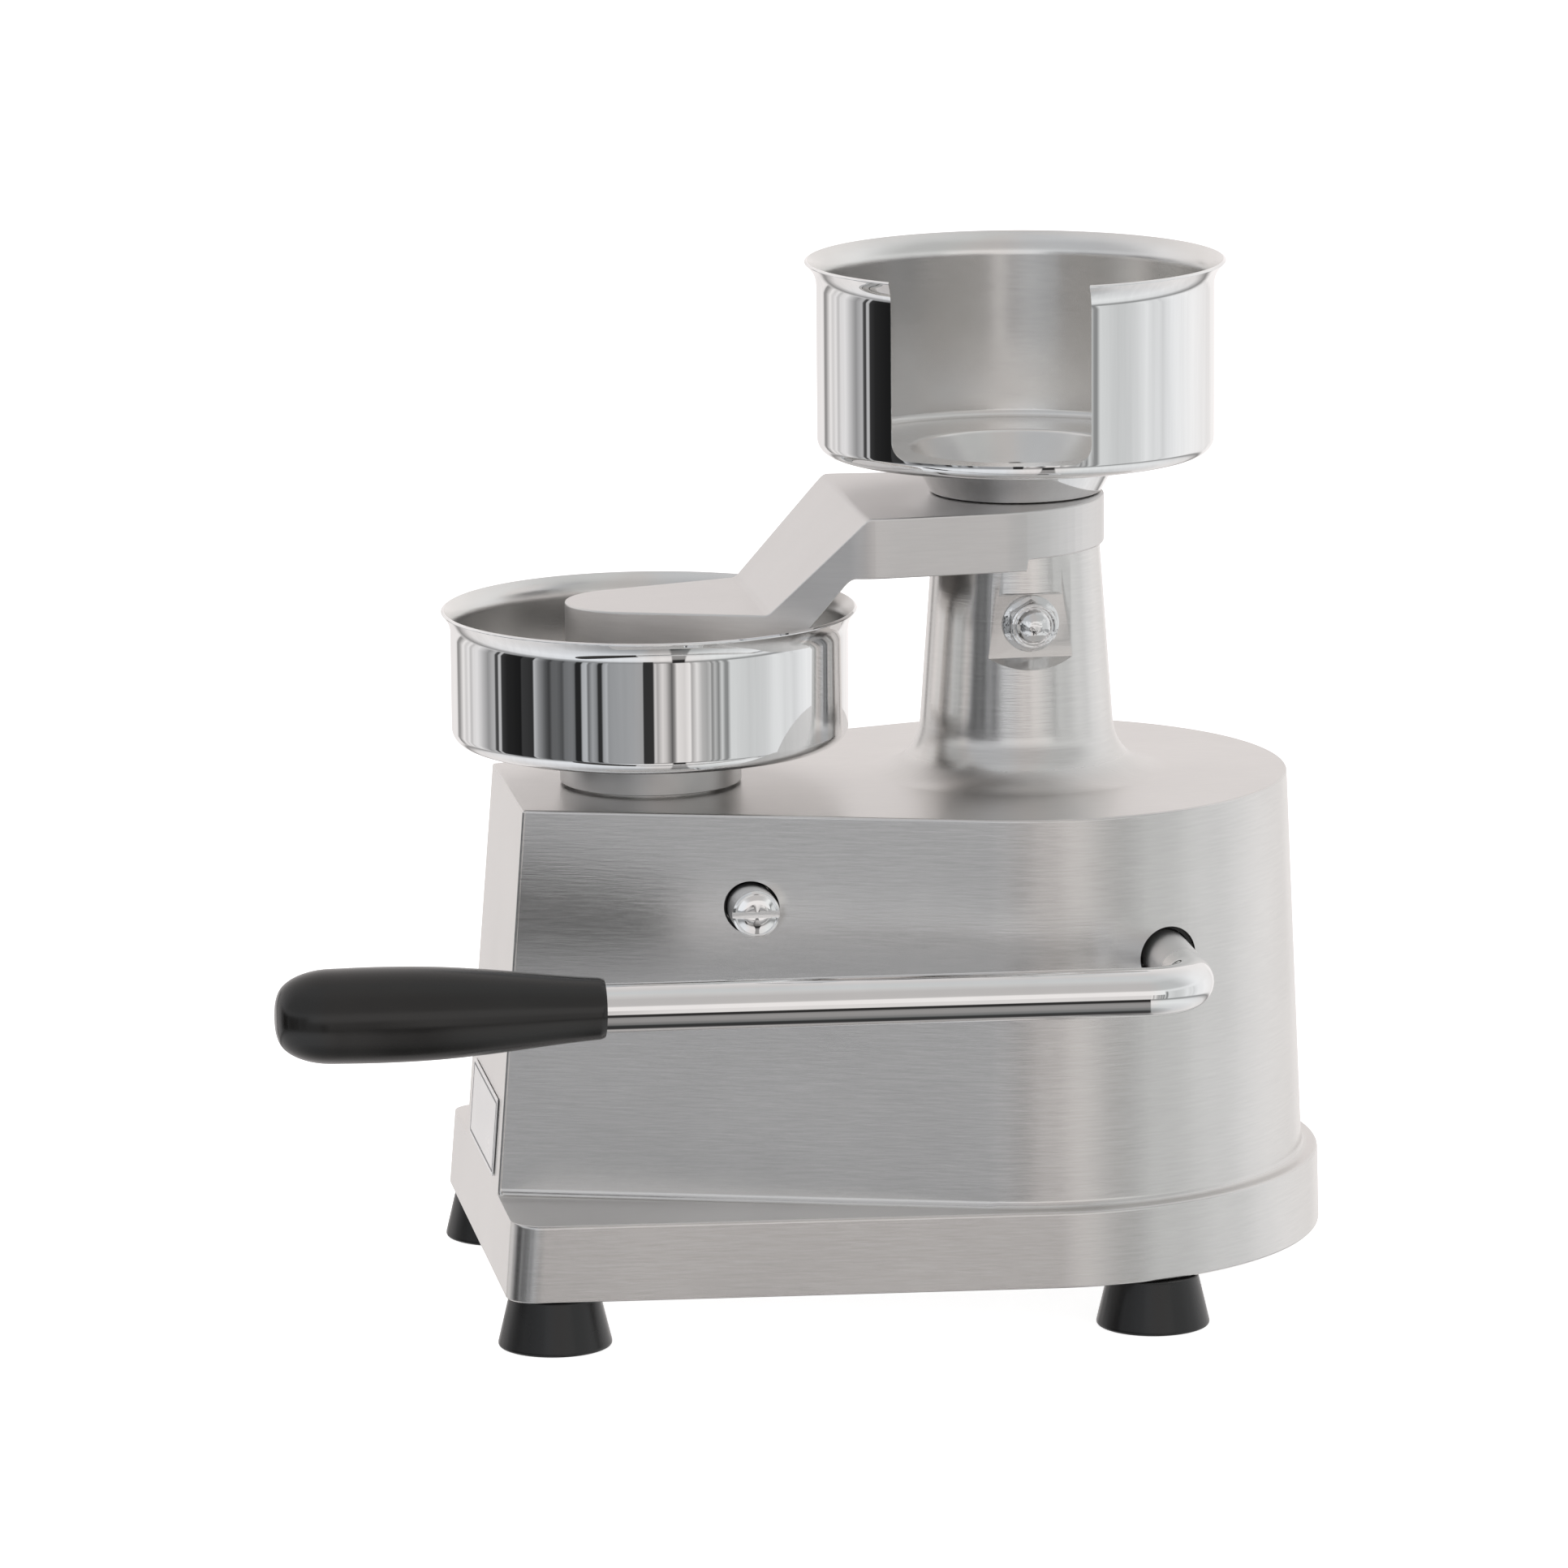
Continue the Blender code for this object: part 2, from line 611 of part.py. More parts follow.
def arm_side_outline():
    """Side view of the cranked arm as (x, z) points: pad, slope and hub."""
    top = [(-0.040, ARM_PAD_TOP_Z), (0.0325, ARM_PAD_TOP_Z), (0.0355, ARM_PAD_TOP_Z + 0.0011)]
    top += [(0.0650, ARM_TOP_Z - 0.0016), (0.0690, ARM_TOP_Z), (0.170, ARM_TOP_Z)]
    bottom = [(0.170, ARM_RELIEF_Z), (ARM_STEP_X, ARM_RELIEF_Z), (ARM_STEP_X, ARM_RIM_Z)]
    bottom += [(0.0625, ARM_RIM_Z), (0.0600, ARM_RIM_Z - 0.0014)]
    bottom += [(0.0370, ARM_PAD_FLOOR_Z + 0.0012), (0.0340, ARM_PAD_FLOOR_Z), (-0.040, ARM_PAD_FLOOR_Z)]
    return top + bottom


def arm_plan_outline():
    """Plan view: round toe, sides that widen to the bend, then a wide round hub end."""
    toe_x, toe_r = -0.0054, 0.0228
    widest = (0.0667, 0.0485)
    hub_x, hub_r = 0.1097, 0.0442
    reach = hypot(widest[0] - toe_x, widest[1])
    toe_end = atan2(widest[1], widest[0] - toe_x) + acos(toe_r / reach)
    reach = hypot(hub_x - widest[0], widest[1])
    hub_end = atan2(widest[1], widest[0] - hub_x) - acos(hub_r / reach)
    toe = arc((toe_x, 0), toe_r, 180, toe_end * 180 / pi, 7)
    shoulder = [(widest[0] - 0.004, widest[1] - 0.0014), (widest[0] + 0.005, widest[1] - 0.0004)]
    hub = arc((hub_x, 0), hub_r, hub_end * 180 / pi, 0, 12)
    left = toe + shoulder + hub
    return left + [(x, -y) for x, y in reversed(left[1:-1])]


def make_press_arm(axis):
    arm = new_object("press_arm", plate(arm_side_outline(), -0.060, 0.060), "cast_aluminium", axis)
    combine(arm, "INTERSECT", slab(arm_plan_outline(), 0.200, 0.280), "arm_plan_tool")
    cutters = [
        moved(rod(ARM_POCKET_R, ARM_RIM_Z - 0.010, ARM_RELIEF_Z, 32), at(COLUMN_X, 0, 0)),
        rod(SCREW_HOLE_R, ARM_PAD_FLOOR_Z - OVERRUN, PRESS_SCREW_TIP_Z + OVERRUN, 8),
        moved(rod(SCREW_HOLE_R, 0.0, 0.040, 8), towards_rear(0, ARM_BORE_Z, COLUMN_X)),
    ]
    combine(arm, "DIFFERENCE", merged(*cutters), "arm_cut_tool")
    socket = [(0, 0.240), (PLUNGER_R + GAP, 0.240), (PLUNGER_R + GAP, PLUNGER_TOP_Z + GAP)]
    screw_bore_r = HOLDER_SCREW_R + 0.0005
    socket += [(screw_bore_r, PLUNGER_TOP_Z + GAP), (screw_bore_r, 0.272), (0, 0.272)]
    combine(arm, "DIFFERENCE", moved(turned(socket, 24), at(COLUMN_X, 0, 0)), "arm_socket_tool")

    bm = moved(rod(SCREW_R, 0.0115, 0.0230, 8), towards_rear(0, ARM_BORE_Z, COLUMN_X))
    new_object("arm_set_screw", bm, "fastener_steel", axis)


def make_press_plate(axis):
    low, high = PRESS_PLATE_Z
    boss_top = ARM_PAD_FLOOR_Z - GAP
    sink = 0.0033
    profile = [
        (SCREW_HOLE_R + sink, low),
        (PRESS_PLATE_R - 0.0010, low),
        (PRESS_PLATE_R, low + 0.0010),
        (PRESS_PLATE_R, high),
        (0.0180, high),
        (0.0170, boss_top),
        (SCREW_HOLE_R, boss_top),
        (SCREW_HOLE_R, low + sink),
    ]
    new_object("press_plate", turned(profile, 32), "brushed_steel", axis)
    screw = [(0, low + 0.0004), (SCREW_R + sink - 0.0004, low + 0.0004), (SCREW_R, low + sink)]
    screw += [(SCREW_R, PRESS_SCREW_TIP_Z), (0, PRESS_SCREW_TIP_Z)]
    new_object("press_plate_screw", turned(screw, 12), "fastener_steel", axis)


def make_plunger(axis):
    bm = moved(rod(PLUNGER_R, PLUNGER_PIN_Z - 0.009, PLUNGER_TOP_Z, 24), at(COLUMN_X, 0, 0))
    plunger = new_object("plunger", bm, "brushed_steel", axis)
    slot_half = ARM_PLATE_HALF + 0.0004
    slot = [(-0.020, PLUNGER_PIN_Z - 0.020), (0.020, PLUNGER_PIN_Z - 0.020)]
    slot += [(0.020, PLUNGER_PIN_Z + 0.0185), (-0.020, PLUNGER_PIN_Z + 0.0185)]
    fork = moved(plate(slot, -slot_half, slot_half), at(COLUMN_X, 0, 0))
    travel = (SHAFT_X - COLUMN_X) * 2 * tan(-CRANK_START)
    groove_half = 0.0034
    low, high = GUIDE_BOLT_Z - travel - 0.0042, GUIDE_BOLT_Z + 0.0042
    groove = [(-groove_half, low), (groove_half, low), (groove_half, high), (-groove_half, high)]
    groove_cut = moved(plate(groove, -0.015, -0.0075), at(COLUMN_X, 0, 0))
    top_hole = moved(rod(0.0043, 0.2380, PLUNGER_TOP_Z + 0.002, 12), at(COLUMN_X, 0, 0))
    hole = moved(rod(PLUNGER_PIN_R + GAP, -0.015, 0.015, 12), towards_right(COLUMN_X, PLUNGER_PIN_Z))
    combine(plunger, "DIFFERENCE", hole, "plunger_pin_hole_tool")
    combine(plunger, "DIFFERENCE", merged(fork, groove_cut, top_hole), "plunger_cut_tool")
    pin = moved(rod(PLUNGER_PIN_R, -0.0100, 0.0100, 12), towards_right(COLUMN_X, PLUNGER_PIN_Z))
    new_object("plunger_cross_pin", pin, "fastener_steel", axis)


def make_column_bushes(axis):
    for name, start, end in (("upper", 0.2335, COLUMN_TOP_Z - GAP), ("lower", BUSH_BOSS_Z, 0.1750)):
        bush = tube(PLUNGER_R + GAP, COLUMN_BORE_R - GAP, start, end, 24)
        new_object(f"column_bush_{name}", moved(bush, at(COLUMN_X, 0, 0)), "bronze", axis)


def make_guide_bolt(axis):
    """Flanged hex bolt whose dog point runs in the plunger's groove."""
    seat = -SPOT_FACE_Y + GAP
    profile = [
        (0, BOLT_TIP_Y),
        (BOLT_DOG_R, BOLT_TIP_Y),
        (BOLT_DOG_R, 0.0120),
        (BOLT_R, 0.0125),
        (BOLT_R, seat),
        (0.0092, seat),
        (0.00945, seat + 0.0004),
        (0.0088, seat + 0.0016),
        (0.0060, seat + 0.0024),
        (0.0060, seat + 0.0058),
        (0.0073, seat + 0.0058),
        (0.0070, seat + 0.0068),
        (0, seat + 0.0078),
    ]
    place = towards_right(COLUMN_X, GUIDE_BOLT_Z, 0.02)
    bolt = new_object("guide_bolt", moved(turned(profile, 16), place), "fastener_steel", axis)
    across_corners = 0.0070 / cos(pi / 6)
    hexagon = rod(across_corners, seat + 0.0010, seat + 0.0055, 6)
    moved(hexagon, towards_right(COLUMN_X, GUIDE_BOLT_Z, pi / 2))
    combine(bolt, "UNION", hexagon, "guide_bolt_hex_tool")


# ---- lever --------------------------------------------------------------------------------------


def make_lever_rod(axis):
    """The shaft and the handle bar: one bent round bar."""
    centre = (SHAFT_X - ROD_BEND_R, ROD_Y + ROD_BEND_R)
    path = [(SHAFT_X, SHAFT_LEFT_END_Y)] + arc(centre, ROD_BEND_R, 0, -90, 7) + [(ROD_END_X, ROD_Y)]
    rings = []
    sides = 16
    for i, point in enumerate(path):
        before, after = path[max(i - 1, 0)], path[min(i + 1, len(path) - 1)]
        heading = Vector((after[0] - before[0], after[1] - before[1], 0)).normalized()
        across = heading.cross(Vector((0, 0, 1)))
        ring = []
        for step in range(sides):
            angle = 2 * pi * step / sides
            offset = across * (SHAFT_R * cos(angle)) + Vector((0, 0, SHAFT_R * sin(angle)))
            ring.append(Vector((point[0], point[1], SHAFT_Z)) + offset)
        rings.append(ring)
    bm = moved(loft(rings), turn_about_y(LEVER_TILT, SHAFT_X, SHAFT_Z))
    lever = new_object("lever_rod", bm, "chrome", axis)
    combine(lever, "DIFFERENCE", crank_pin_solid(SCREW_HOLE_R, 0.020), "lever_pin_hole_tool")


def crank_pin_solid(radius, half_length):
    """The cross pin through the crank's hub and the shaft, along the crank's own arm."""
    bm = moved(rod(radius, -half_length, half_length, 12), towards_rear(0.008, SHAFT_Z, SHAFT_X))
    return moved(bm, turn_about_y(CRANK_START, SHAFT_X, SHAFT_Z))


def make_grip(axis):
    length = GRIP_MOUTH_X - GRIP_TIP_X
    bore_depth = GRIP_MOUTH_X - ROD_END_X + GAP
    bore_r = SHAFT_R + GAP
    outside = [
        (bore_r, 0.0),
        (0.0094, 0.0),
        (0.0099, 0.0006),
        (0.0110, 0.0130),
        (0.0137, 0.0380),
        (0.0152, 0.0550),
        (GRIP_R, 0.0680),
        (GRIP_R, 0.0840),
        (0.0148, 0.0920),
        (0.0124, 0.0990),
        (0.0092, 0.1035),
        (0.0060, length - 0.0002),
        (0, length),
    ]
    profile = outside + [(0, bore_depth), (bore_r, bore_depth)]
    place = at(GRIP_MOUTH_X, ROD_Y, SHAFT_Z) @ Matrix.Rotation(-pi / 2, 4, "Y")
    bm = moved(turned(profile, 18), place)
    new_object("grip", moved(bm, turn_about_y(LEVER_TILT, SHAFT_X, SHAFT_Z)), "grip_plastic", axis)


def make_shaft_bushes(axis):
    for side, sign in (("right", 1), ("left", -1)):
        ends = sorted((sign * 0.0660, sign * 0.0795))
        bush = moved(tube(SHAFT_R + GAP, SHAFT_BORE_R - GAP, *ends, 20), towards_right(SHAFT_X, SHAFT_Z))
        new_object(f"shaft_bush_{side}", bush, "bush_plastic", axis)


def make_shaft_collar(axis):
    collar = moved(tube(SHAFT_R + GAP, 0.0130, -0.0655, -0.0580, 20), towards_right(SHAFT_X, SHAFT_Z))
    new_object("shaft_collar", collar, "fastener_steel", axis)


def crank_body(name, axis, x, z, hub_r, bore_r, slot_from, slot_to, slot_half, tip_r, cross_hole=None):
    """A hub with a slotted forward arm and a plain downward arm, turned to its rest angle."""
    turn = turn_about_y(CRANK_START, x, z)
    hub = moved(rod(hub_r, -HUB_Y[1], -HUB_Y[0], 20), towards_right(x, z))
    item = new_object(name, hub, "brushed_steel", axis)
    forward = two_circle_outline((x, z), hub_r - 0.0015, (x - slot_to, z), tip_r)
    combine(
        item,
        "UNION",
        moved(plate(forward, -ARM_PLATE_HALF, ARM_PLATE_HALF), turn),
        f"{name}_forward_tool",
    )
    down = two_circle_outline((x, z), hub_r - 0.0015, (x, z - LINK_CRANK), 0.0070)
    combine(item, "UNION", moved(plate(down, *DOWN_ARM_Y), turn), f"{name}_down_tool")
    if cross_hole:
        combine(item, "DIFFERENCE", cross_hole, f"{name}_pin_hole_tool")
    slot = two_circle_outline((x - slot_from, z), slot_half, (x - slot_to, z), slot_half, 5)
    bore = moved(rod(bore_r, -0.030, 0.030, 20), towards_right(x, z))
    pin_hole = moved(rod(LINK_HOLE_R, -0.030, 0.030, 12), towards_right(x, z - LINK_CRANK))
    combine(
        item,
        "DIFFERENCE",
        merged(moved(plate(slot, -0.008, 0.008), turn), bore, moved(pin_hole, turn)),
        f"{name}_cut_tool",
    )


def make_crank(axis):
    reach = SHAFT_X - COLUMN_X
    crank_body(
        "crank", axis, SHAFT_X, SHAFT_Z, 0.0140, SHAFT_R + GAP,
        reach - 0.0002, reach / cos(CRANK_START) + 0.0002, 0.0050, 0.0085,
        crank_pin_solid(SCREW_HOLE_R, 0.020),
    )
    new_object("crank_pin", crank_pin_solid(SCREW_R, 0.0132), "fastener_steel", axis)


def make_bell_crank(axis):
    crank_body(
        "bell_crank", axis, PIVOT_X, PIVOT_Z, 0.0125, PIVOT_R + GAP,
        PIVOT_X - 0.0002, PIVOT_X / cos(CRANK_START) + 0.0002, 0.0038, 0.0065,
    )


def down_arm_end(x, z):
    """Where a crank's downward arm ends at rest."""
    return (x - LINK_CRANK * sin(CRANK_START), z - LINK_CRANK * cos(CRANK_START))


def make_link_pin(name, axis, end):
    head_end, tail_end = -0.0262, -0.0122
    profile = [
        (0, head_end),
        (0.0046, head_end),
        (0.0046, -LINK_Y[1] - GAP),
        (LINK_PIN_R, -LINK_Y[1] - GAP),
        (LINK_PIN_R, tail_end),
        (0, tail_end),
    ]
    new_object(name, moved(turned(profile, 12), towards_right(*end)), "fastener_steel", axis)


def make_ejector_link(axis):
    rear = down_arm_end(SHAFT_X, SHAFT_Z)
    front = down_arm_end(PIVOT_X, PIVOT_Z)
    bar = plate(two_circle_outline(rear, 0.0060, front, 0.0060, 6), *LINK_Y)
    link = new_object("ejector_link", bar, "brushed_steel", axis)
    holes = [moved(rod(LINK_HOLE_R, -0.030, -0.015, 12), towards_right(*end)) for end in (rear, front)]
    combine(link, "DIFFERENCE", merged(*holes), "link_hole_tool")


def make_pivot_pin(axis):
    """Slotted pin that carries the bell crank from wall to wall."""
    left, right = -0.0610, 0.0763
    profile = [
        (0, left),
        (PIVOT_R, left),
        (PIVOT_R, right - 0.0016),
        (PIVOT_R - 0.0006, right - 0.0006),
        (PIVOT_R * 0.55, right - 0.0001),
        (0, right),
    ]
    pin = new_object("pivot_pin", moved(turned(profile, 20), towards_right(PIVOT_X, PIVOT_Z)), "chrome", axis)
    slot_half = 0.0015
    outline = [(-0.010, -slot_half), (0.010, -slot_half), (0.010, slot_half), (-0.010, slot_half)]
    slot = moved(plate(outline, -right - 0.002, -right + 0.0024), at(PIVOT_X, 0, PIVOT_Z))
    combine(pin, "DIFFERENCE", slot, "pivot_slot_tool")
    clip = tube(PIVOT_R + 0.0002, 0.0115, -0.0497, -0.0480, 20)
    new_object("pivot_pin_clip", moved(clip, towards_right(PIVOT_X, PIVOT_Z)), "fastener_steel", axis)


# ---- ejector ------------------------------------------------------------------------------------


def make_ejector(axis):
    plate_low, plate_high = EJECTOR_PLATE_Z
    profile = [
        (SCREW_HOLE_R, plate_low),
        (EJECTOR_PLATE_R, plate_low),
        (EJECTOR_PLATE_R, plate_high),
        (0.0055, plate_high),
        (0.0030, plate_low + 0.0004),
    ]
    new_object("ejector_plate", turned(profile, 32), "brushed_steel", axis)

    top_z = plate_low - GAP
    bar = new_object("ejector_rod", rod(EJECTOR_R, EJECTOR_PIN_Z - 0.0086, top_z, 20), "brushed_steel", axis)
    slot_half = ARM_PLATE_HALF + 0.0004
    slot = [(-0.012, EJECTOR_PIN_Z - 0.014), (0.012, EJECTOR_PIN_Z - 0.014)]
    slot += [(0.012, EJECTOR_PIN_Z + 0.0155), (-0.012, EJECTOR_PIN_Z + 0.0155)]
    cutters = merged(plate(slot, -slot_half, slot_half), rod(SCREW_HOLE_R, 0.1740, top_z + OVERRUN, 8))
    hole = moved(rod(EJECTOR_PIN_R + GAP, -0.012, 0.012, 12), towards_right(0, EJECTOR_PIN_Z))
    combine(bar, "DIFFERENCE", hole, "ejector_pin_hole_tool")
    combine(bar, "DIFFERENCE", cutters, "ejector_cut_tool")

    pin = moved(rod(EJECTOR_PIN_R, -0.0060, 0.0060, 12), towards_right(0, EJECTOR_PIN_Z))
    new_object("ejector_cross_pin", pin, "fastener_steel", axis)
    screw = [(0, 0.1760), (SCREW_R, 0.1760), (SCREW_R, plate_low + 0.0002)]
    screw += [(0.0050, plate_high - 0.0001), (0, plate_high - 0.0001)]
    new_object("ejector_plate_screw", turned(screw, 12), "fastener_steel", axis)


# ---- assembly -----------------------------------------------------------------------------------


def main():
    clear_scene()
    make_materials()
    press = new_axis("press", (PRESS_X, PRESS_Y, 0))
    rear_link_end = down_arm_end(SHAFT_X, SHAFT_Z)
    lever_axis = new_axis("lever_axis", (SHAFT_X, 0, SHAFT_Z), press)
    plunger_axis = new_axis("plunger_axis", (COLUMN_X, 0, COLUMN_TOP_Z), press)
    bell_crank_axis = new_axis("bell_crank_axis", (PIVOT_X, 0, PIVOT_Z), press)
    link_axis = new_axis("link_axis", (rear_link_end[0], 0, rear_link_end[1]), press)
    ejector_axis = new_axis("ejector_axis", (0, 0, EJECTOR_PIN_Z), press)

    make_body_casting(press)
    make_name_plate(press)
    make_feet(press)
    make_mould(press)
    make_column_bushes(press)
    make_guide_bolt(press)
    make_shaft_bushes(press)
    make_pivot_pin(press)

    make_lever_rod(lever_axis)
    make_grip(lever_axis)
    make_crank(lever_axis)
    make_shaft_collar(lever_axis)
    make_link_pin("link_pin_rear", lever_axis, rear_link_end)

    make_plunger(plunger_axis)
    make_press_arm(plunger_axis)
    make_press_plate(plunger_axis)
    make_paper_holder(plunger_axis)

    make_ejector_link(link_axis)
    make_bell_crank(bell_crank_axis)
    make_link_pin("link_pin_front", bell_crank_axis, down_arm_end(PIVOT_X, PIVOT_Z))
    make_ejector(ejector_axis)


main()
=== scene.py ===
"""Looks of the hand-lever patty press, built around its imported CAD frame.

Pieces are modelled in press coordinates: metres, +Z up, the mould's axis at x = y = 0, the floor at z = 0,
the operator at -X and the lever on the -Y side.  finish_piece() moves each one to its place in the frame.
"""

from math import acos, atan, atan2, ceil, cos, hypot, pi, radians, sin, sqrt, tan

import bmesh
import bpy
from mathutils import Matrix, Vector


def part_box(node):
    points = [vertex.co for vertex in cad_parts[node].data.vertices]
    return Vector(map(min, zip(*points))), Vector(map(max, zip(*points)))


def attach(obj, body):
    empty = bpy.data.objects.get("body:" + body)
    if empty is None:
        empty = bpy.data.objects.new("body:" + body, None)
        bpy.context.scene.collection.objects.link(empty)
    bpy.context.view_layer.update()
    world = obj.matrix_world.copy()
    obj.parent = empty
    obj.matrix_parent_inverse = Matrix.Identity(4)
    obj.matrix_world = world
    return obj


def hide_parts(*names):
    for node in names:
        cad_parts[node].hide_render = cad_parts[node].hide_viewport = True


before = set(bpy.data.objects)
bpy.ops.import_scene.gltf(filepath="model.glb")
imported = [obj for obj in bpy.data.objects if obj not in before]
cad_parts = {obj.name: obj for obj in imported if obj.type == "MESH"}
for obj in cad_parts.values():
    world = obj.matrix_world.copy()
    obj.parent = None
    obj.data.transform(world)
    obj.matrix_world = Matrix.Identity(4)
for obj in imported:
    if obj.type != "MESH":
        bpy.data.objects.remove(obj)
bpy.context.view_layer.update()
scene = bpy.context.scene

# ---- places and sizes read from the frame ----


def middle(node):
    low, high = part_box(node)
    return (low + high) / 2


def node_radius(node):
    low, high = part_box(node)
    return (high.x - low.x) / 2


SHIFT = Vector((middle("mould_pan").x, middle("mould_pan").y, 0))
GAP = 0.0003
WALL = 0.006

MOULD_FLOOR_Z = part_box("mould_pan")[0].z
MOULD_RIM_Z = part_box("mould_pan")[1].z
MOULD_RIM_R = node_radius("mould_pan")
HOLDER_SEAT_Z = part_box("paper_holder")[0].z
HOLDER_RIM_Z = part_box("paper_holder")[1].z
HOLDER_RIM_R = node_radius("paper_holder")
COLUMN_X = (middle("column_bush_upper") - SHIFT).x
COLUMN_TOP_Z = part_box("column_bush_upper")[1].z + GAP
FOOT_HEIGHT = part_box("body_casting")[0].z
FOOT_R = node_radius("foot_front_right")
SHAFT_X = (middle("shaft_bush_right") - SHIFT).x
SHAFT_Z = middle("shaft_bush_right").z
PIVOT_X = (middle("pivot_pin") - SHIFT).x
PIVOT_Z = middle("pivot_pin").z
FOOT_PLACES = ("front_right", "front_left", "rear_right", "rear_left")
FEET = {place: middle("foot_" + place) - SHIFT for place in FOOT_PLACES}

# ---- sizes of the casting, the pans and the lever, as the frame has them ----

PLINTH_TOP_Z = 0.0435
BODY_TOP_Z = 0.173
ROUND_END_X = 0.1258
FRONT_TOP_X = -0.0485
FRONT_SLOPE = 0.0804
BODY_TOP = (0.042, 0.0898)
BODY_FOOT = (0.0445, 0.0952)
PLINTH_TOP = (0.0895, 0.1006)
PLINTH_FOOT = (0.0905, 0.1012)
BODY_CORNER_R = 0.0009
PLINTH_CORNER_R = 0.0105
COLUMN_TOP_R = 0.0281
COLUMN_TAPER = 0.072
COLUMN_FILLET = 0.018
COLUMN_BORE_R = 0.0133
MOULD_BOSS_TOP_Z = 0.1755
EJECTOR_BORE_R = 0.0103
SCREW_BORE_R = 0.0028

PAN_R = 0.0665
PAN_WALL = 0.0015
HOLDER_FLOOR_Z = 0.2813
HOLDER_SEAT_R = 0.0286
HOLDER_SEAT_TOP_R = 0.036

ARM_TOP_Z = HOLDER_SEAT_Z - GAP
ARM_RIM_Z = 0.2475
ARM_RELIEF_Z = 0.2513
ARM_PAD_TOP_Z = 0.2348
ARM_PAD_FLOOR_Z = 0.2148
ARM_STEP_X = 0.1206
ARM_TOE_X, ARM_TOE_R = -0.0054, 0.0228
ARM_HUB_X, ARM_HUB_R = 0.1097, 0.0442
ARM_WIDE_X, ARM_HALF_WIDTH = 0.0667, 0.0485

SHAFT_R = 0.008
SHAFT_LEFT_END_Y = 0.083
SHAFT_BORE_R = 0.01
ROD_Y = -0.1374
ROD_BEND_R = 0.018
ROD_END_X = -0.108
LEVER_TILT = radians(0.7)
GRIP_MOUTH_X = -0.0347
GRIP_LENGTH = 0.1059
GRIP_R = 0.0154
PIVOT_R = 0.0079
PIVOT_RIGHT_END = 0.0763
GUIDE_BOLT_Z = 0.2272
SPOT_FACE_Y = -0.0271
SPOT_FACE_Z = (0.2157, 0.2376)

# ---- the camera ----

CAMERA_AZIMUTH = radians(-8.632)
CAMERA_ELEVATION = radians(11.326)
CAMERA_ROLL = radians(-0.461)
CAMERA_PLACE = Vector((-0.38714, -2.8476, 0.74712))
CAMERA_LENS = 200.6

# ---- mesh tools ----


def arc(centre, radius, start_deg, end_deg, steps):
    """Points from start to end on a circle, both ends included."""
    angles = [radians(start_deg + (end_deg - start_deg) * i / steps) for i in range(steps + 1)]
    return [(centre[0] + radius * cos(a), centre[1] + radius * sin(a)) for a in angles]


def rounded(corners, closed=True, step=radians(11)):
    """The polyline through (a, b, radius) corners, with an arc of that radius at each corner."""
    points = []
    count = len(corners)
    for i, (a, b, radius) in enumerate(corners):
        here = Vector((a, b))
        if radius == 0 or (not closed and i in (0, count - 1)):
            points.append((a, b))
            continue
        before = (Vector(corners[i - 1][:2]) - here).normalized()
        after = (Vector(corners[(i + 1) % count][:2]) - here).normalized()
        half = before.angle(after) / 2
        centre = here + (before + after).normalized() * (radius / sin(half))
        first = here + before * (radius / tan(half)) - centre
        last = here + after * (radius / tan(half)) - centre
        start = atan2(first.y, first.x)
        turn = (atan2(last.y, last.x) - start + pi) % (2 * pi) - pi
        steps = max(2, ceil(abs(turn) / step))
        for k in range(steps + 1):
            angle = start + turn * k / steps
            points.append((centre.x + radius * cos(angle), centre.y + radius * sin(angle)))
    return points


def rectangle(half_width, half_height, corner):
    w, h = half_width, half_height
    return rounded([(w, h, corner), (-w, h, corner), (-w, -h, corner), (w, -h, corner)])


def smooth_curve(knots, steps):
    """Points on a smooth curve through the knots, both ends included."""
    points = []
    for i in range(len(knots) - 1):
        near = [knots[min(max(i + k, 0), len(knots) - 1)] for k in (-1, 0, 1, 2)]
        before, start, end, after = (Vector(knot) for knot in near)
        for k in range(steps):
            t = k / steps
            leave, arrive = (end - before) / 2, (after - start) / 2
            point = start * (2 * t**3 - 3 * t**2 + 1) + end * (3 * t**2 - 2 * t**3)
            point += leave * (t**3 - 2 * t**2 + t) + arrive * (t**3 - t**2)
            points.append((point.x, point.y))
    return points + [knots[-1]]


def finished(bm):
    bmesh.ops.recalc_face_normals(bm, faces=bm.faces)
    return bm


def circle(bm, x, radius, z, segments):
    angles = [2 * pi * k / segments for k in range(segments)]
    return [bm.verts.new((x + radius * cos(a), radius * sin(a), z)) for a in angles]


def turned(profile, segments, inner_from=None):
    """Revolve a closed (radius, height) loop about Z.  Faces from the point inner_from on get slot 1."""
    bm = bmesh.new()
    rings = []
    for radius, height in profile:
        on_axis = radius < 1e-6
        rings.append([bm.verts.new((0, 0, height))] if on_axis else circle(bm, 0, radius, height, segments))
    for i, ring in enumerate(rings):
        following = rings[(i + 1) % len(rings)]
        if len(ring) == len(following) == 1:
            continue
        for k in range(segments):
            corners = [
                ring[k % len(ring)],
                ring[(k + 1) % len(ring)],
                following[(k + 1) % len(following)],
                following[k % len(following)],
            ]
            face = bm.faces.new(list(dict.fromkeys(corners)))
            face.material_index = int(inner_from is not None and i >= inner_from)
    return finished(bm)


def skin(bm, loops):
    """Join equal loops of vertices with quads."""
    for lower, upper in zip(loops, loops[1:]):
        count = len(lower)
        for i in range(count):
            j = (i + 1) % count
            bm.faces.new((lower[i], lower[j], upper[j], upper[i]))


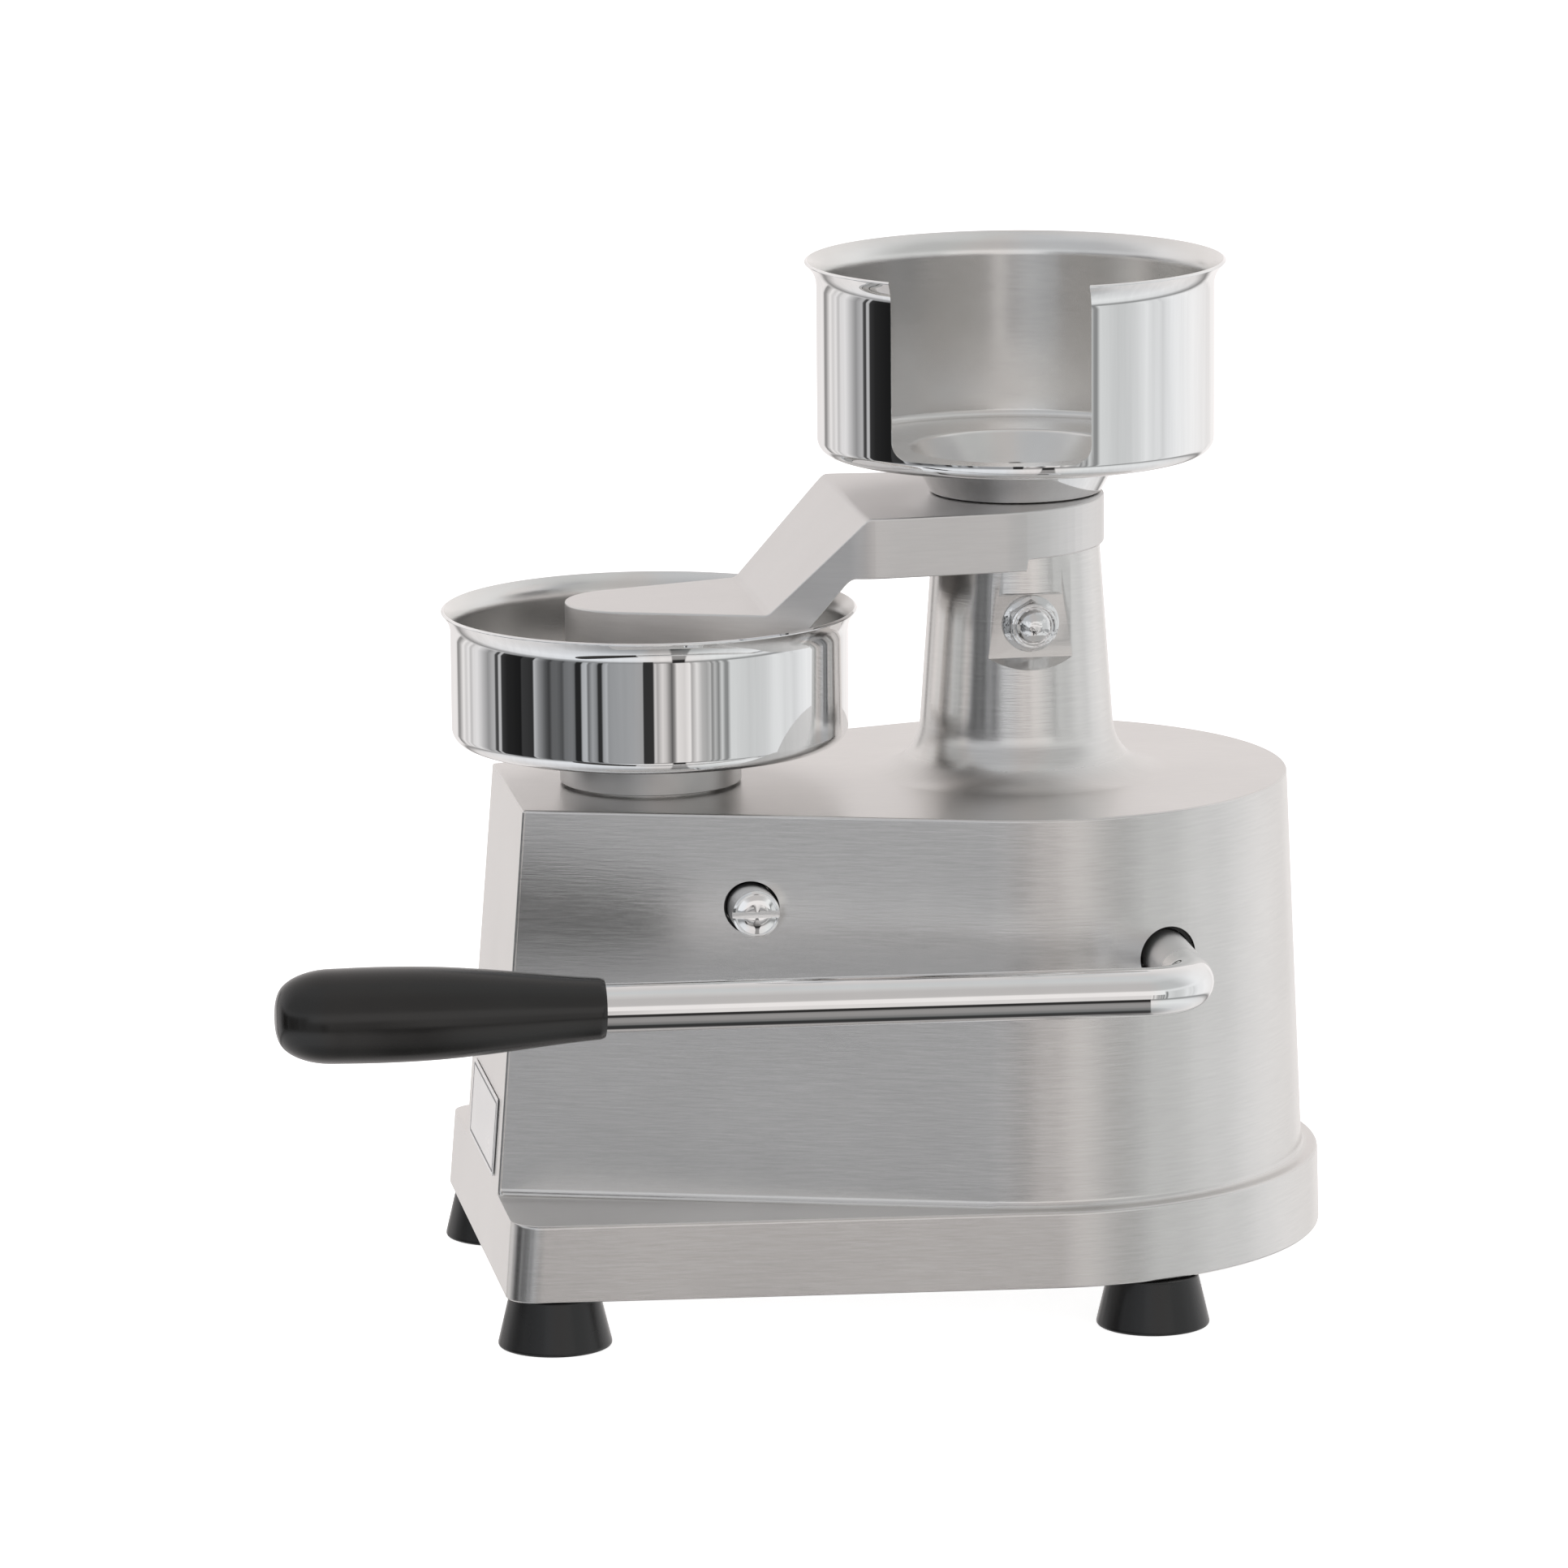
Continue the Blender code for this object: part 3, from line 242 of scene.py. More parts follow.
def loft(rings):
    """Skin equal rings of points and cap both ends."""
    bm = bmesh.new()
    loops = [[bm.verts.new(point) for point in ring] for ring in rings]
    skin(bm, loops)
    bm.faces.new(loops[0])
    bm.faces.new(loops[-1])
    return finished(bm)


def plate(outline_xz, y_from, y_to):
    return loft([[(x, y, z) for x, z in outline_xz] for y in (y_from, y_to)])


def block(outline_yz, x_from, x_to):
    return loft([[(x, y, z) for y, z in outline_yz] for x in (x_from, x_to)])


def rod(radius, start, end, segments=64):
    return turned([(0, start), (radius, start), (radius, end), (0, end)], segments)


def moved(bm, matrix):
    bm.transform(matrix)
    return bm


def at(x, y, z):
    return Matrix.Translation((x, y, z))


def on_column(bm):
    return moved(bm, at(COLUMN_X, 0, 0))


def towards_right(x, z, roll=0.11):
    """Lay the Z axis along -Y, the operator's right, through (x, z)."""
    return at(x, 0, z) @ Matrix.Rotation(pi / 2, 4, "X") @ Matrix.Rotation(roll, 4, "Z")


def turn_about_y(angle, x, z):
    return at(x, 0, z) @ Matrix.Rotation(angle, 4, "Y") @ at(-x, 0, -z)


def merged(*parts):
    bm = bmesh.new()
    for part in parts:
        mesh = bpy.data.meshes.new("shell")
        part.to_mesh(mesh)
        part.free()
        bm.from_mesh(mesh)
        bpy.data.meshes.remove(mesh)
    return bm


def mesh_object(name, bm, materials=()):
    mesh = bpy.data.meshes.new(name)
    bm.to_mesh(mesh)
    bm.free()
    for material in materials:
        mesh.materials.append(material)
    item = bpy.data.objects.new(name, mesh)
    scene.collection.objects.link(item)
    return item


def cut(item, operation, bm):
    """Apply a Boolean to the item's mesh at once and remove its tool, which has the item's materials."""
    tool = mesh_object("tool", bm, item.data.materials)
    modifier = item.modifiers.new("cut", "BOOLEAN")
    modifier.operation = operation
    modifier.solver = "EXACT"
    modifier.object = tool
    apply_modifiers(item)
    bpy.data.objects.remove(tool, do_unlink=True)


def take_mesh(item):
    """The item's mesh as a bmesh; the item itself goes."""
    bm = bmesh.new()
    bm.from_mesh(item.data)
    bpy.data.objects.remove(item, do_unlink=True)
    return bm


def apply_modifiers(item):
    bpy.context.view_layer.update()
    evaluated = item.evaluated_get(bpy.context.evaluated_depsgraph_get())
    mesh = bpy.data.meshes.new_from_object(evaluated)
    old = item.data
    item.modifiers.clear()
    item.data = mesh
    bpy.data.meshes.remove(old)


def bevel(item, width):
    modifier = item.modifiers.new("edges", "BEVEL")
    modifier.width = width
    modifier.segments = 2
    modifier.limit_method = "ANGLE"
    modifier.angle_limit = radians(32)
    modifier.harden_normals = False
    apply_modifiers(item)


def finish_piece(item, body, slot, *nodes, sharp_deg=38, weighted=True):
    """Shade the piece, move it to its place in the frame and hide the CAD nodes that it stands for."""
    item.data.transform(at(*SHIFT))
    item.data.shade_smooth()
    item.data.set_sharp_from_angle(angle=radians(sharp_deg))
    if weighted:
        modifier = item.modifiers.new("normals", "WEIGHTED_NORMAL")
        modifier.keep_sharp = True
        modifier.weight = 60
        apply_modifiers(item)
    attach(item, body)
    if nodes:
        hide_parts(*nodes)
    return item


# ---- materials ----


def add(tree, kind, inputs=None, **settings):
    """One shader node with its settings.  Each input is a socket that feeds it or a plain value."""
    item = tree.nodes.new("ShaderNode" + kind)
    for key, value in settings.items():
        setattr(item, key, value)
    for key, value in (inputs or {}).items():
        if isinstance(value, bpy.types.NodeSocket):
            tree.links.new(value, item.inputs[key])
        else:
            item.inputs[key].default_value = value
    return item


def remap(tree, socket, low, high, to_low, to_high, smooth=False):
    kind = "SMOOTHSTEP" if smooth else "LINEAR"
    inputs = {"Value": socket, "From Min": low, "From Max": high, "To Min": to_low, "To Max": to_high}
    return add(tree, "MapRange", inputs, interpolation_type=kind).outputs["Result"]


def noise(tree, vector, scale, detail, roughness=0.5):
    inputs = {"Vector": vector, "Scale": scale, "Detail": detail, "Roughness": roughness}
    return add(tree, "TexNoise", inputs).outputs["Fac"]


def scaled(tree, vector, scale):
    return add(tree, "Mapping", {"Vector": vector, "Scale": scale}).outputs["Vector"]


def axes(tree, vector):
    return add(tree, "SeparateXYZ", {0: vector}).outputs


def calc(tree, operation, first, second=0):
    return add(tree, "Math", {0: first, 1: second}, operation=operation).outputs[0]


def blend_numbers(tree, factor, first, second):
    inputs = {"Factor": factor, "A": first, "B": second}
    return add(tree, "Mix", inputs, data_type="FLOAT").outputs["Result"]


def new_material(name, colour, roughness, metallic):
    material = bpy.data.materials.new(name)
    material.use_nodes = True
    tree = material.node_tree
    shader = tree.nodes["Principled BSDF"]
    shader.inputs["Base Color"].default_value = (*colour, 1)
    shader.inputs["Roughness"].default_value = roughness
    shader.inputs["Metallic"].default_value = metallic
    return material, tree, shader


def set_stops(ramp, stops):
    elements = ramp.color_ramp.elements
    for index, (position, colour) in enumerate(stops):
        element = elements[index] if index < 2 else elements.new(position)
        element.position = position
        element.color = (*colour, 1)


def tint(tree, shader, factor, colour, spread):
    """Colour varied from darker to lighter than its own by a factor."""
    dark = [c * (1 - spread) for c in colour]
    light = [min(c * (1 + spread), 1) for c in colour]
    ramp = add(tree, "ValToRGB", {"Fac": factor})
    set_stops(ramp, [(0.3, dark), (0.7, light)])
    tree.links.new(ramp.outputs["Color"], shader.inputs["Base Color"])


def bump(tree, shader, height, distance):
    item = add(tree, "Bump", {"Height": height, "Distance": distance, "Strength": 1.0})
    tree.links.new(item.outputs["Normal"], shader.inputs["Normal"])


def object_place(tree):
    return add(tree, "TexCoord").outputs["Object"]


def brushed_material(name, colour, roughness, depth, spread=0.03, column=None):
    """Metal brushed along the horizontal on its walls and along X on its flat, duller tops.

    column is (height, lower roughness): above that height the walls were turned and are smoother.
    """
    material, tree, shader = new_material(name, colour, roughness, 0.94)
    place = object_place(tree)
    normal = add(tree, "NewGeometry").outputs["Normal"]
    up = calc(tree, "ABSOLUTE", axes(tree, normal)["Z"])
    flat = remap(tree, up, 0.6, 0.8, 0, 1, True)
    walls = noise(tree, scaled(tree, place, (80, 80, 1200)), 1.0, 6, 0.7)
    tops = noise(tree, scaled(tree, place, (140, 1700, 140)), 1.0, 6, 0.7)
    grain = blend_numbers(tree, flat, walls, tops)
    cloud = noise(tree, place, 26, 3)
    rough = remap(tree, grain, 0.25, 0.75, roughness - 0.03, roughness + 0.03)
    rough = calc(tree, "ADD", rough, remap(tree, flat, 0, 1, 0, 0.1))
    if column:
        height, smoother = column
        drop = remap(tree, axes(tree, place)["Z"], height, height + 0.006, 0, smoother - roughness, True)
        rough = calc(tree, "ADD", rough, drop)
    tree.links.new(rough, shader.inputs["Roughness"])
    tint(tree, shader, blend_numbers(tree, 0.6, cloud, grain), colour, spread)
    bump(tree, shader, grain, depth)
    return material


def turned_material(name, colour, roughness, axis, depth, vary=0.06):
    """Metal with fine rings round a vertical axis, as a lathe or a spinning brush leaves them."""
    material, tree, shader = new_material(name, colour, roughness, 0.92)
    place = object_place(tree)
    offset = add(tree, "Mapping", {"Vector": place, "Location": (-axis.x, -axis.y, 0)}).outputs["Vector"]
    x, y, z = axes(tree, offset)
    square = calc(tree, "ADD", calc(tree, "POWER", x, 2), calc(tree, "POWER", y, 2))
    angle = calc(tree, "ARCTAN2", y, x)
    rings = add(tree, "CombineXYZ", {0: calc(tree, "SQRT", square), 1: angle, 2: z}).outputs["Vector"]
    grain = noise(tree, scaled(tree, rings, (1500, 9, 1500)), 1.0, 5, 0.6)
    cloud = noise(tree, scaled(tree, rings, (60, 2, 60)), 1.0, 3)
    rough = remap(tree, grain, 0.25, 0.75, roughness - vary, roughness + vary)
    tree.links.new(rough, shader.inputs["Roughness"])
    tint(tree, shader, cloud, colour, 0.04)
    bump(tree, shader, grain, depth)
    return material


def polished_material(name, colour, roughness, haze_roughness, ripple=None, streaks=0.0, satin=None):
    """Mirror-bright metal with faint haze.

    ripple is (scale, depth) of a slight waviness and streaks the strength of faint upright marks.
    satin is (place on Y, roughness): beyond that place the metal is only satin.
    """
    material, tree, shader = new_material(name, colour, roughness, 1.0)
    place = object_place(tree)
    haze = noise(tree, place, 90, 4)
    rough = remap(tree, haze, 0.35, 0.75, roughness, roughness + haze_roughness)
    if satin:
        border, duller = satin
        rise = remap(tree, axes(tree, place)["Y"], border, border + 0.001, 0, duller, True)
        rough = calc(tree, "ADD", rough, rise)
    tree.links.new(rough, shader.inputs["Roughness"])
    if streaks:
        tint(tree, shader, noise(tree, scaled(tree, place, (420, 420, 14)), 1.0, 3, 0.6), colour, streaks)
    else:
        tint(tree, shader, haze, colour, 0.015)
    if ripple:
        bump(tree, shader, noise(tree, place, ripple[0], 2), ripple[1])
    return material


def plastic_material(name, colour, roughness, depth, grain_scale, metallic=0.0, spread=0.12):
    material, tree, shader = new_material(name, colour, roughness, metallic)
    place = object_place(tree)
    grain = noise(tree, place, grain_scale, 4)
    cloud = noise(tree, place, 40, 3)
    rough = remap(tree, cloud, 0.3, 0.7, roughness - 0.04, roughness + 0.06)
    tree.links.new(rough, shader.inputs["Roughness"])
    tint(tree, shader, cloud, colour, spread)
    bump(tree, shader, grain, depth)
    return material


MOULD_AXIS = SHIFT
COLUMN_AXIS = SHIFT + Vector((COLUMN_X, 0, 0))
TURNED_COLUMN = (BODY_TOP_Z + 0.015, 0.17)
SATIN_SHAFT = (SHIFT.y + ROD_Y + 0.026, 0.36)
SATIN_PIN_NECK = (SHIFT.y - PIVOT_RIGHT_END + 0.0012, 0.25)
ALUMINIUM = (0.77, 0.755, 0.74)
INSIDE_STEEL = (0.84, 0.83, 0.815)
MIRROR = (0.9, 0.9, 0.9)
BLACK = (0.015, 0.015, 0.015)

aluminium = brushed_material("satin_aluminium", ALUMINIUM, 0.24, 0.000032, 0.06, column=TURNED_COLUMN)
arm_aluminium = brushed_material("brushed_aluminium", (0.76, 0.745, 0.735), 0.31, 0.000025, 0.045)
bar_steel = brushed_material("brushed_bar_steel", (0.7, 0.69, 0.67), 0.3, 0.00001)
mould_inside = turned_material("mould_inside_steel", INSIDE_STEEL, 0.23, MOULD_AXIS, 0.000003, vary=0.03)
holder_inside = turned_material("holder_inside_steel", INSIDE_STEEL, 0.23, COLUMN_AXIS, 0.000003, vary=0.03)
turned_ring = turned_material("turned_aluminium", (0.66, 0.65, 0.64), 0.36, MOULD_AXIS, 0.000006)
bronze = turned_material("bronze", (0.62, 0.42, 0.2), 0.32, COLUMN_AXIS, 0.00001)
mirror_steel = polished_material("mirror_steel", MIRROR, 0.004, 0.006, streaks=0.03)
chrome = polished_material("chrome", MIRROR, 0.008, 0.012, satin=SATIN_SHAFT)
pin_chrome = polished_material("pin_chrome", MIRROR, 0.012, 0.012, satin=SATIN_PIN_NECK)
bolt_chrome = polished_material("bolt_chrome", (0.84, 0.84, 0.84), 0.015, 0.015, ripple=(480, 0.00022))
fastener = polished_material("fastener_steel", (0.78, 0.78, 0.77), 0.16, 0.05, ripple=(160, 0.00003))
grip_plastic = plastic_material("grip_plastic", (0.017, 0.016, 0.015), 0.18, 0.000008, 900)
# Black plastic of the shaft bushes; the casting also uses it as painted shade in the pivot pin's bore and
# mouth.
bush_plastic = plastic_material("bush_plastic", BLACK, 0.45, 0.00002, 900)
foot_rubber = plastic_material("foot_rubber", (0.014, 0.014, 0.014), 0.25, 0.000012, 700)
label_border = plastic_material("label_border", (0.22, 0.22, 0.23), 0.4, 0.000005, 1200)
label_silver = plastic_material("label_silver", (0.96, 0.96, 0.96), 0.28, 0.000005, 1200, 0.85, 0.02)

# ---- base casting ----


def front_x(z):
    """The sloping front plane shared by the body and the plinth."""
    return FRONT_TOP_X - (BODY_TOP_Z - z) * FRONT_SLOPE


def between(z, high_z, low_z, high, low):
    """(half width of the front, radius of the rear end) at a height of a tapering side."""
    share = (high_z - z) / (high_z - low_z)
    return tuple(h + (l - h) * share for h, l in zip(high, low))


def body_size(z):
    return between(z, BODY_TOP_Z, PLINTH_TOP_Z, BODY_TOP, BODY_FOOT)


def plinth_size(z):
    return between(z, PLINTH_TOP_Z, FOOT_HEIGHT, PLINTH_TOP, PLINTH_FOOT)


def plan_ring(z, size, corner_r, grow, front_in=0.0):
    """Plan outline at a height, grown outwards by a distance on its sides and round end."""
    half, radius = size
    x0 = front_x(z)
    reach = hypot(ROUND_END_X - x0, half)
    side = atan2(half, x0 - ROUND_END_X) - acos(radius / reach)
    slope = pi / 2 - side
    half += front_in * tan(slope)
    half += grow / cos(slope)
    radius += grow
    x0 += front_in
    corner_r = max(corner_r + grow, 0.0006)
    turn = pi / 2 - slope
    back = corner_r * tan(turn / 2)
    corner = arc((x0 + corner_r, half - back), corner_r, 180, 180 - turn * 180 / pi, 8)
    left = corner + arc((ROUND_END_X, 0), radius, side * 180 / pi, 0, 56)
    points = left + [(x, -y) for x, y in reversed(left[:-1])]
    return [(x, y, z) for x, y in points]


def quarter(steps):
    """Pairs (sine, cosine) for the steps of a quarter turn."""
    return [(sin(pi / 2 * k / steps), cos(pi / 2 * k / steps)) for k in range(steps + 1)]


def casting_outside():
    top_edge, foot_fillet, plinth_edge, bottom_edge = 0.0009, 0.0024, 0.0013, 0.0008
    rings = []
    for s, c in quarter(4):
        z = BODY_TOP_Z - top_edge * (1 - c)
        inset = top_edge * (1 - s)
        rings.append(plan_ring(z, body_size(z), BODY_CORNER_R, -inset, inset))
    for s, c in quarter(6):
        z = PLINTH_TOP_Z + foot_fillet * (1 - s)
        rings.append(plan_ring(z, body_size(z), BODY_CORNER_R, foot_fillet * (1 - c)))
    ledge_fall = 0.00004
    for s, c in quarter(5):
        z = PLINTH_TOP_Z - ledge_fall - plinth_edge * (1 - c)
        rings.append(plan_ring(z, plinth_size(z), PLINTH_CORNER_R, -plinth_edge * (1 - s)))
    for s, c in quarter(3):
        z = FOOT_HEIGHT + bottom_edge * (1 - s)
        inset = bottom_edge * (1 - c)
        rings.append(plan_ring(z, plinth_size(z), PLINTH_CORNER_R, -inset, inset))
    return rings


def casting_within(inset, roof_z):
    """The casting's outside brought in by a distance, from its foot to a roof."""
    floor_z = PLINTH_TOP_Z - inset
    levels = [
        (FOOT_HEIGHT, PLINTH_FOOT, PLINTH_CORNER_R),
        (floor_z, PLINTH_TOP, PLINTH_CORNER_R),
        (floor_z + 0.0001, BODY_FOOT, BODY_CORNER_R),
        (roof_z, BODY_TOP, BODY_CORNER_R),
    ]
    return [plan_ring(z, size, corner_r, -inset, inset) for z, size, corner_r in levels]


def column_profile():
    """From the roof up: the foot's fillet, the tapered side and the top edge."""
    foot_r = COLUMN_TOP_R + COLUMN_TAPER * (COLUMN_TOP_Z - BODY_TOP_Z)
    corners = [
        (foot_r + COLUMN_FILLET * 1.2, BODY_TOP_Z, 0),
        (foot_r, BODY_TOP_Z, COLUMN_FILLET),
        (COLUMN_TOP_R, COLUMN_TOP_Z, 0.0006),
        (0.02, COLUMN_TOP_Z, 0),
    ]
    return rounded(corners, closed=False, step=radians(7))[1:]


def mould_boss_profile():
    """The raised seat under the mould's ring, set back under the ring's skirt."""
    radius = node_radius("mould_base") - 0.0032
    return [(radius, BODY_TOP_Z), (radius, MOULD_BOSS_TOP_Z), (0.02, MOULD_BOSS_TOP_Z)]


def make_casting_mesh():
    """One closed shell: the roof is filled round the column and the boss, so no seam shows there."""
    bm = bmesh.new()
    inside = casting_within(WALL, BODY_TOP_Z - WALL - 0.001)
    shells = [[bm.verts.new(p) for p in ring] for ring in casting_outside() + inside]
    skin(bm, shells)
    bm.faces.new(shells[-1])
    rims = [shells[0]]
    for centre_x, profile in ((COLUMN_X, column_profile()), (0, mould_boss_profile())):
        rings = [circle(bm, centre_x, radius, z, 96) for radius, z in profile]
        skin(bm, rings)
        bm.faces.new(rings[-1])
        rims.append(rings[0])
    edges = []
    for loop in rims:
        edges += [bm.edges.get(pair) for pair in zip(loop, loop[1:] + loop[:1])]
    bmesh.ops.triangle_fill(bm, use_beauty=True, edges=edges)
    return finished(bm)


def casting_bosses():
    """Bearing bosses inside the side walls, foot bosses and the boss that hangs under the roof."""
    bosses = []
    outer_y = 0.1
    for x, z, radius, inner_y in ((SHAFT_X, SHAFT_Z, 0.015, 0.066), (PIVOT_X, PIVOT_Z, 0.0125, 0.05)):
        for ends in ((inner_y, outer_y), (-outer_y, -inner_y)):
            bosses.append(moved(rod(radius, *ends, 48), towards_right(x, z, 0.05)))
    for centre in FEET.values():
        bosses.append(moved(rod(0.008, FOOT_HEIGHT, 0.06, 32), at(centre.x, centre.y, 0)))
    bosses.append(on_column(rod(0.02, 0.152, BODY_TOP_Z - 0.002, 64)))
    return merged(*bosses)


def casting_bores():
    """Bores for the column, the ejector, the bushes, the pivot pin and the screws of the feet."""
    bores = [
        on_column(rod(COLUMN_BORE_R, 0.15, COLUMN_TOP_Z + 0.002)),
        rod(EJECTOR_BORE_R, 0.155, BODY_TOP_Z + 0.004),
    ]
    pivot_bore_r, mouth_r, mouth_y = 0.0082, 0.0089, 0.0607
    for sign in (1, -1):
        ends = sorted((sign * 0.055, sign * 0.105))
        bores.append(moved(rod(SHAFT_BORE_R, *ends, 72), towards_right(SHAFT_X, SHAFT_Z)))
        start, mouth, end = (sign * y for y in (0.044, mouth_y, 0.09))
        profile = [(0, start), (pivot_bore_r, start), (pivot_bore_r, mouth), (mouth_r, mouth), (mouth_r, end)]
        bores.append(moved(turned(profile + [(0, end)], 72), towards_right(PIVOT_X, PIVOT_Z)))
        # The pivot pin's bore and its mouth take slot 1, plain black: painted shade of the gap round the pin.
        for face in bores[-1].faces:
            face.material_index = 1
    for centre in FEET.values():
        bores.append(moved(rod(SCREW_BORE_R, FOOT_HEIGHT - 0.004, 0.034, 24), at(centre.x, centre.y, 0)))
    return merged(*bores)


def spot_face():
    """The flat milled on the column for the guide bolt, with a 45 degree run-out below."""
    low, high = SPOT_FACE_Z
    depth, half = 0.012, 0.02
    corners = [
        (SPOT_FACE_Y, low, 0.0006),
        (SPOT_FACE_Y - depth, low - depth, 0),
        (SPOT_FACE_Y - depth, high, 0),
        (SPOT_FACE_Y, high, 0.001),
    ]
    return block(rounded(corners), COLUMN_X - half, COLUMN_X + half)


def make_casting():
    # Slot 1 is plain black, painted shade in the pivot pin's bore and mouth.
    casting = mesh_object("casting", make_casting_mesh(), [aluminium, bush_plastic])
    bosses = mesh_object("bosses", casting_bosses())
    middle_of_wall = casting_within(WALL / 2, BODY_TOP_Z - WALL / 2)
    cut(bosses, "INTERSECT", loft(middle_of_wall))
    cut(casting, "UNION", take_mesh(bosses))
    cut(casting, "DIFFERENCE", spot_face())
    cut(casting, "DIFFERENCE", casting_bores())
    bolt_bore = moved(rod(0.0053, 0.008, 0.032, 32), towards_right(COLUMN_X, GUIDE_BOLT_Z))
    cut(casting, "DIFFERENCE", bolt_bore)
    finish_piece(casting, "base", "cast_aluminium", "body_casting", sharp_deg=28)


def make_name_plate():
    """A blank silver plate with a thin dark border, on the leaning front face."""
    half_width, half_height, thickness = 0.032, 0.0132, 0.0005
    middle_z = 0.06
    lean = at(front_x(middle_z) - 0.0002, 0, middle_z) @ Matrix.Rotation(atan(FRONT_SLOPE), 4, "Y")

    def slab(inset, corner, x_from, x_to):
        return block(rectangle(half_width - inset, half_height - inset, corner), x_from, x_to)

    sheet = mesh_object("name_plate_sheet", moved(slab(0, 0.001, -thickness, 0), lean), [label_silver])
    bevel(sheet, 0.00012)
    line = slab(0.0012, 0.0008, -thickness - 0.00005, -0.0002)
    border = mesh_object("name_plate_border", line, [label_border])
    cut(border, "DIFFERENCE", slab(0.0019, 0.0006, -0.002, 0.002))
    border.data.transform(lean)
    finish_piece(sheet, "base", "label", "name_plate")
    finish_piece(border, "base", "label", weighted=False)


def make_feet():
    top_z = FOOT_HEIGHT - GAP
    for place, centre in FEET.items():
        corners = [
            (0.003, 0.0085, 0),
            (0.0065, 0.0085, 0.0004),
            (0.0065, 0.0000, 0.0006),
            (FOOT_R, 0.0000, 0.0008),
            (FOOT_R - 0.0001, 0.0012, 0.0006),
            (0.015, top_z, 0.0007),
            (0.003, top_z, 0),
        ]
        bm = moved(turned(rounded(corners), 72), at(centre.x, centre.y, 0))
        foot = mesh_object("rubber_foot_" + place, bm, [foot_rubber])
        finish_piece(foot, "base", "foot_rubber", "foot_" + place)


# ---- pans ----


def pan_corners(floor_z, rim_z, rim_r):
    """Outer then inner corners of a pan's wall, from its floor's edge to the flared rim and back."""
    flare_z = rim_z - 0.0046
    outside = [
        (PAN_R, floor_z, 0.005),
        (PAN_R, flare_z, 0.0095),
        (rim_r, rim_z - 0.0007, 0.0003),
        (rim_r - 0.0009, rim_z, 0.0003),
    ]
    inside = [
        (PAN_R - PAN_WALL, flare_z + 0.0008, 0.009),
        (PAN_R - PAN_WALL, floor_z + PAN_WALL, 0.0026),
    ]
    return outside, inside


def pan_mesh(corners_before, floor_z, rim_z, rim_r, corners_after):
    """A turned pan whose faces from the rim's top inwards are the brushed ones."""
    outside, inside = pan_corners(floor_z, rim_z, rim_r)
    first = rounded(corners_before + outside + inside[:1], closed=False)[:-1]
    whole = rounded(corners_before + outside + inside + corners_after)
    return turned(whole, 224, inner_from=len(first) - 1)


def make_mould():
    bore_r = 0.0078
    before = [(bore_r, MOULD_FLOOR_Z, 0)]
    after = [(bore_r, MOULD_FLOOR_Z + PAN_WALL, 0)]
    bm = pan_mesh(before, MOULD_FLOOR_Z, MOULD_RIM_Z, MOULD_RIM_R, after)
    mould = mesh_object("mould_bowl", bm, [mirror_steel, mould_inside])
    finish_piece(mould, "base", "polished_steel", "mould_pan")

    top_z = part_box("mould_base")[1].z
    radius = node_radius("mould_base")
    start_z = MOULD_BOSS_TOP_Z + 0.00003
    skirt_z, skirt_r = BODY_TOP_Z + 0.0009, radius - 0.003
    corners = [
        (EJECTOR_BORE_R, start_z, 0),
        (skirt_r, start_z, 0),
        (skirt_r, skirt_z, 0),
        (radius, skirt_z, 0.0003),
        (radius, top_z, 0.0006),
        (EJECTOR_BORE_R, top_z, 0),
    ]
    ring = mesh_object("mould_ring", turned(rounded(corners), 160), [turned_ring])
    finish_piece(ring, "base", "cast_aluminium", "mould_base")


def window_cutter():
    """The window's outline, 60 degrees of the wall, turned a little towards the operator."""
    half, sill_z, corner = 0.0332, 0.2865, 0.006
    top_z = HOLDER_RIM_Z + 0.01
    outline = rounded([(half, top_z, 0), (-half, top_z, 0), (-half, sill_z, corner), (half, sill_z, corner)])
    return moved(plate(outline, -0.09, -0.04), at(COLUMN_X, 0, 0) @ Matrix.Rotation(radians(-18.1), 4, "Z"))


def make_paper_holder():
    bore_r = 0.0045
    before = [
        (bore_r, HOLDER_SEAT_Z, 0),
        (HOLDER_SEAT_R, HOLDER_SEAT_Z, 0.001),
        (HOLDER_SEAT_TOP_R, HOLDER_FLOOR_Z, 0.0012),
    ]
    after = [
        (HOLDER_SEAT_TOP_R - 0.0008, HOLDER_FLOOR_Z + PAN_WALL, 0.002),
        (HOLDER_SEAT_R - 0.001, HOLDER_SEAT_Z + PAN_WALL, 0.0014),
        (bore_r, HOLDER_SEAT_Z + PAN_WALL, 0),
    ]
    bm = pan_mesh(before, HOLDER_FLOOR_Z, HOLDER_RIM_Z, HOLDER_RIM_R, after)
    holder = mesh_object("paper_pan", on_column(bm), [mirror_steel, holder_inside])
    cut(holder, "DIFFERENCE", window_cutter())
    finish_piece(holder, "plunger", "polished_steel", "paper_holder")


def make_holder_screw():
    """Round-headed cap screw with a hexagon socket."""
    low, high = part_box("holder_screw")
    head_r = node_radius("holder_screw")
    seat_z = high.z - 0.0071
    corners = [
        (0, low.z, 0),
        (0.004, low.z, 0.0004),
        (0.004, seat_z, 0),
        (head_r, seat_z, 0.0004),
        (head_r, seat_z + 0.005, 0.001),
        (0.005, high.z, 0.003),
        (0, high.z, 0),
    ]
    screw = mesh_object("holder_cap_screw", turned(rounded(corners), 96), [fastener])
    cut(screw, "DIFFERENCE", rod(0.0029, high.z - 0.0035, high.z + 0.002, 6))
    screw.data.transform(at(COLUMN_X, 0, 0))
    finish_piece(screw, "plunger", "fastener_steel", "holder_screw")


# ---- press arm and plates ----


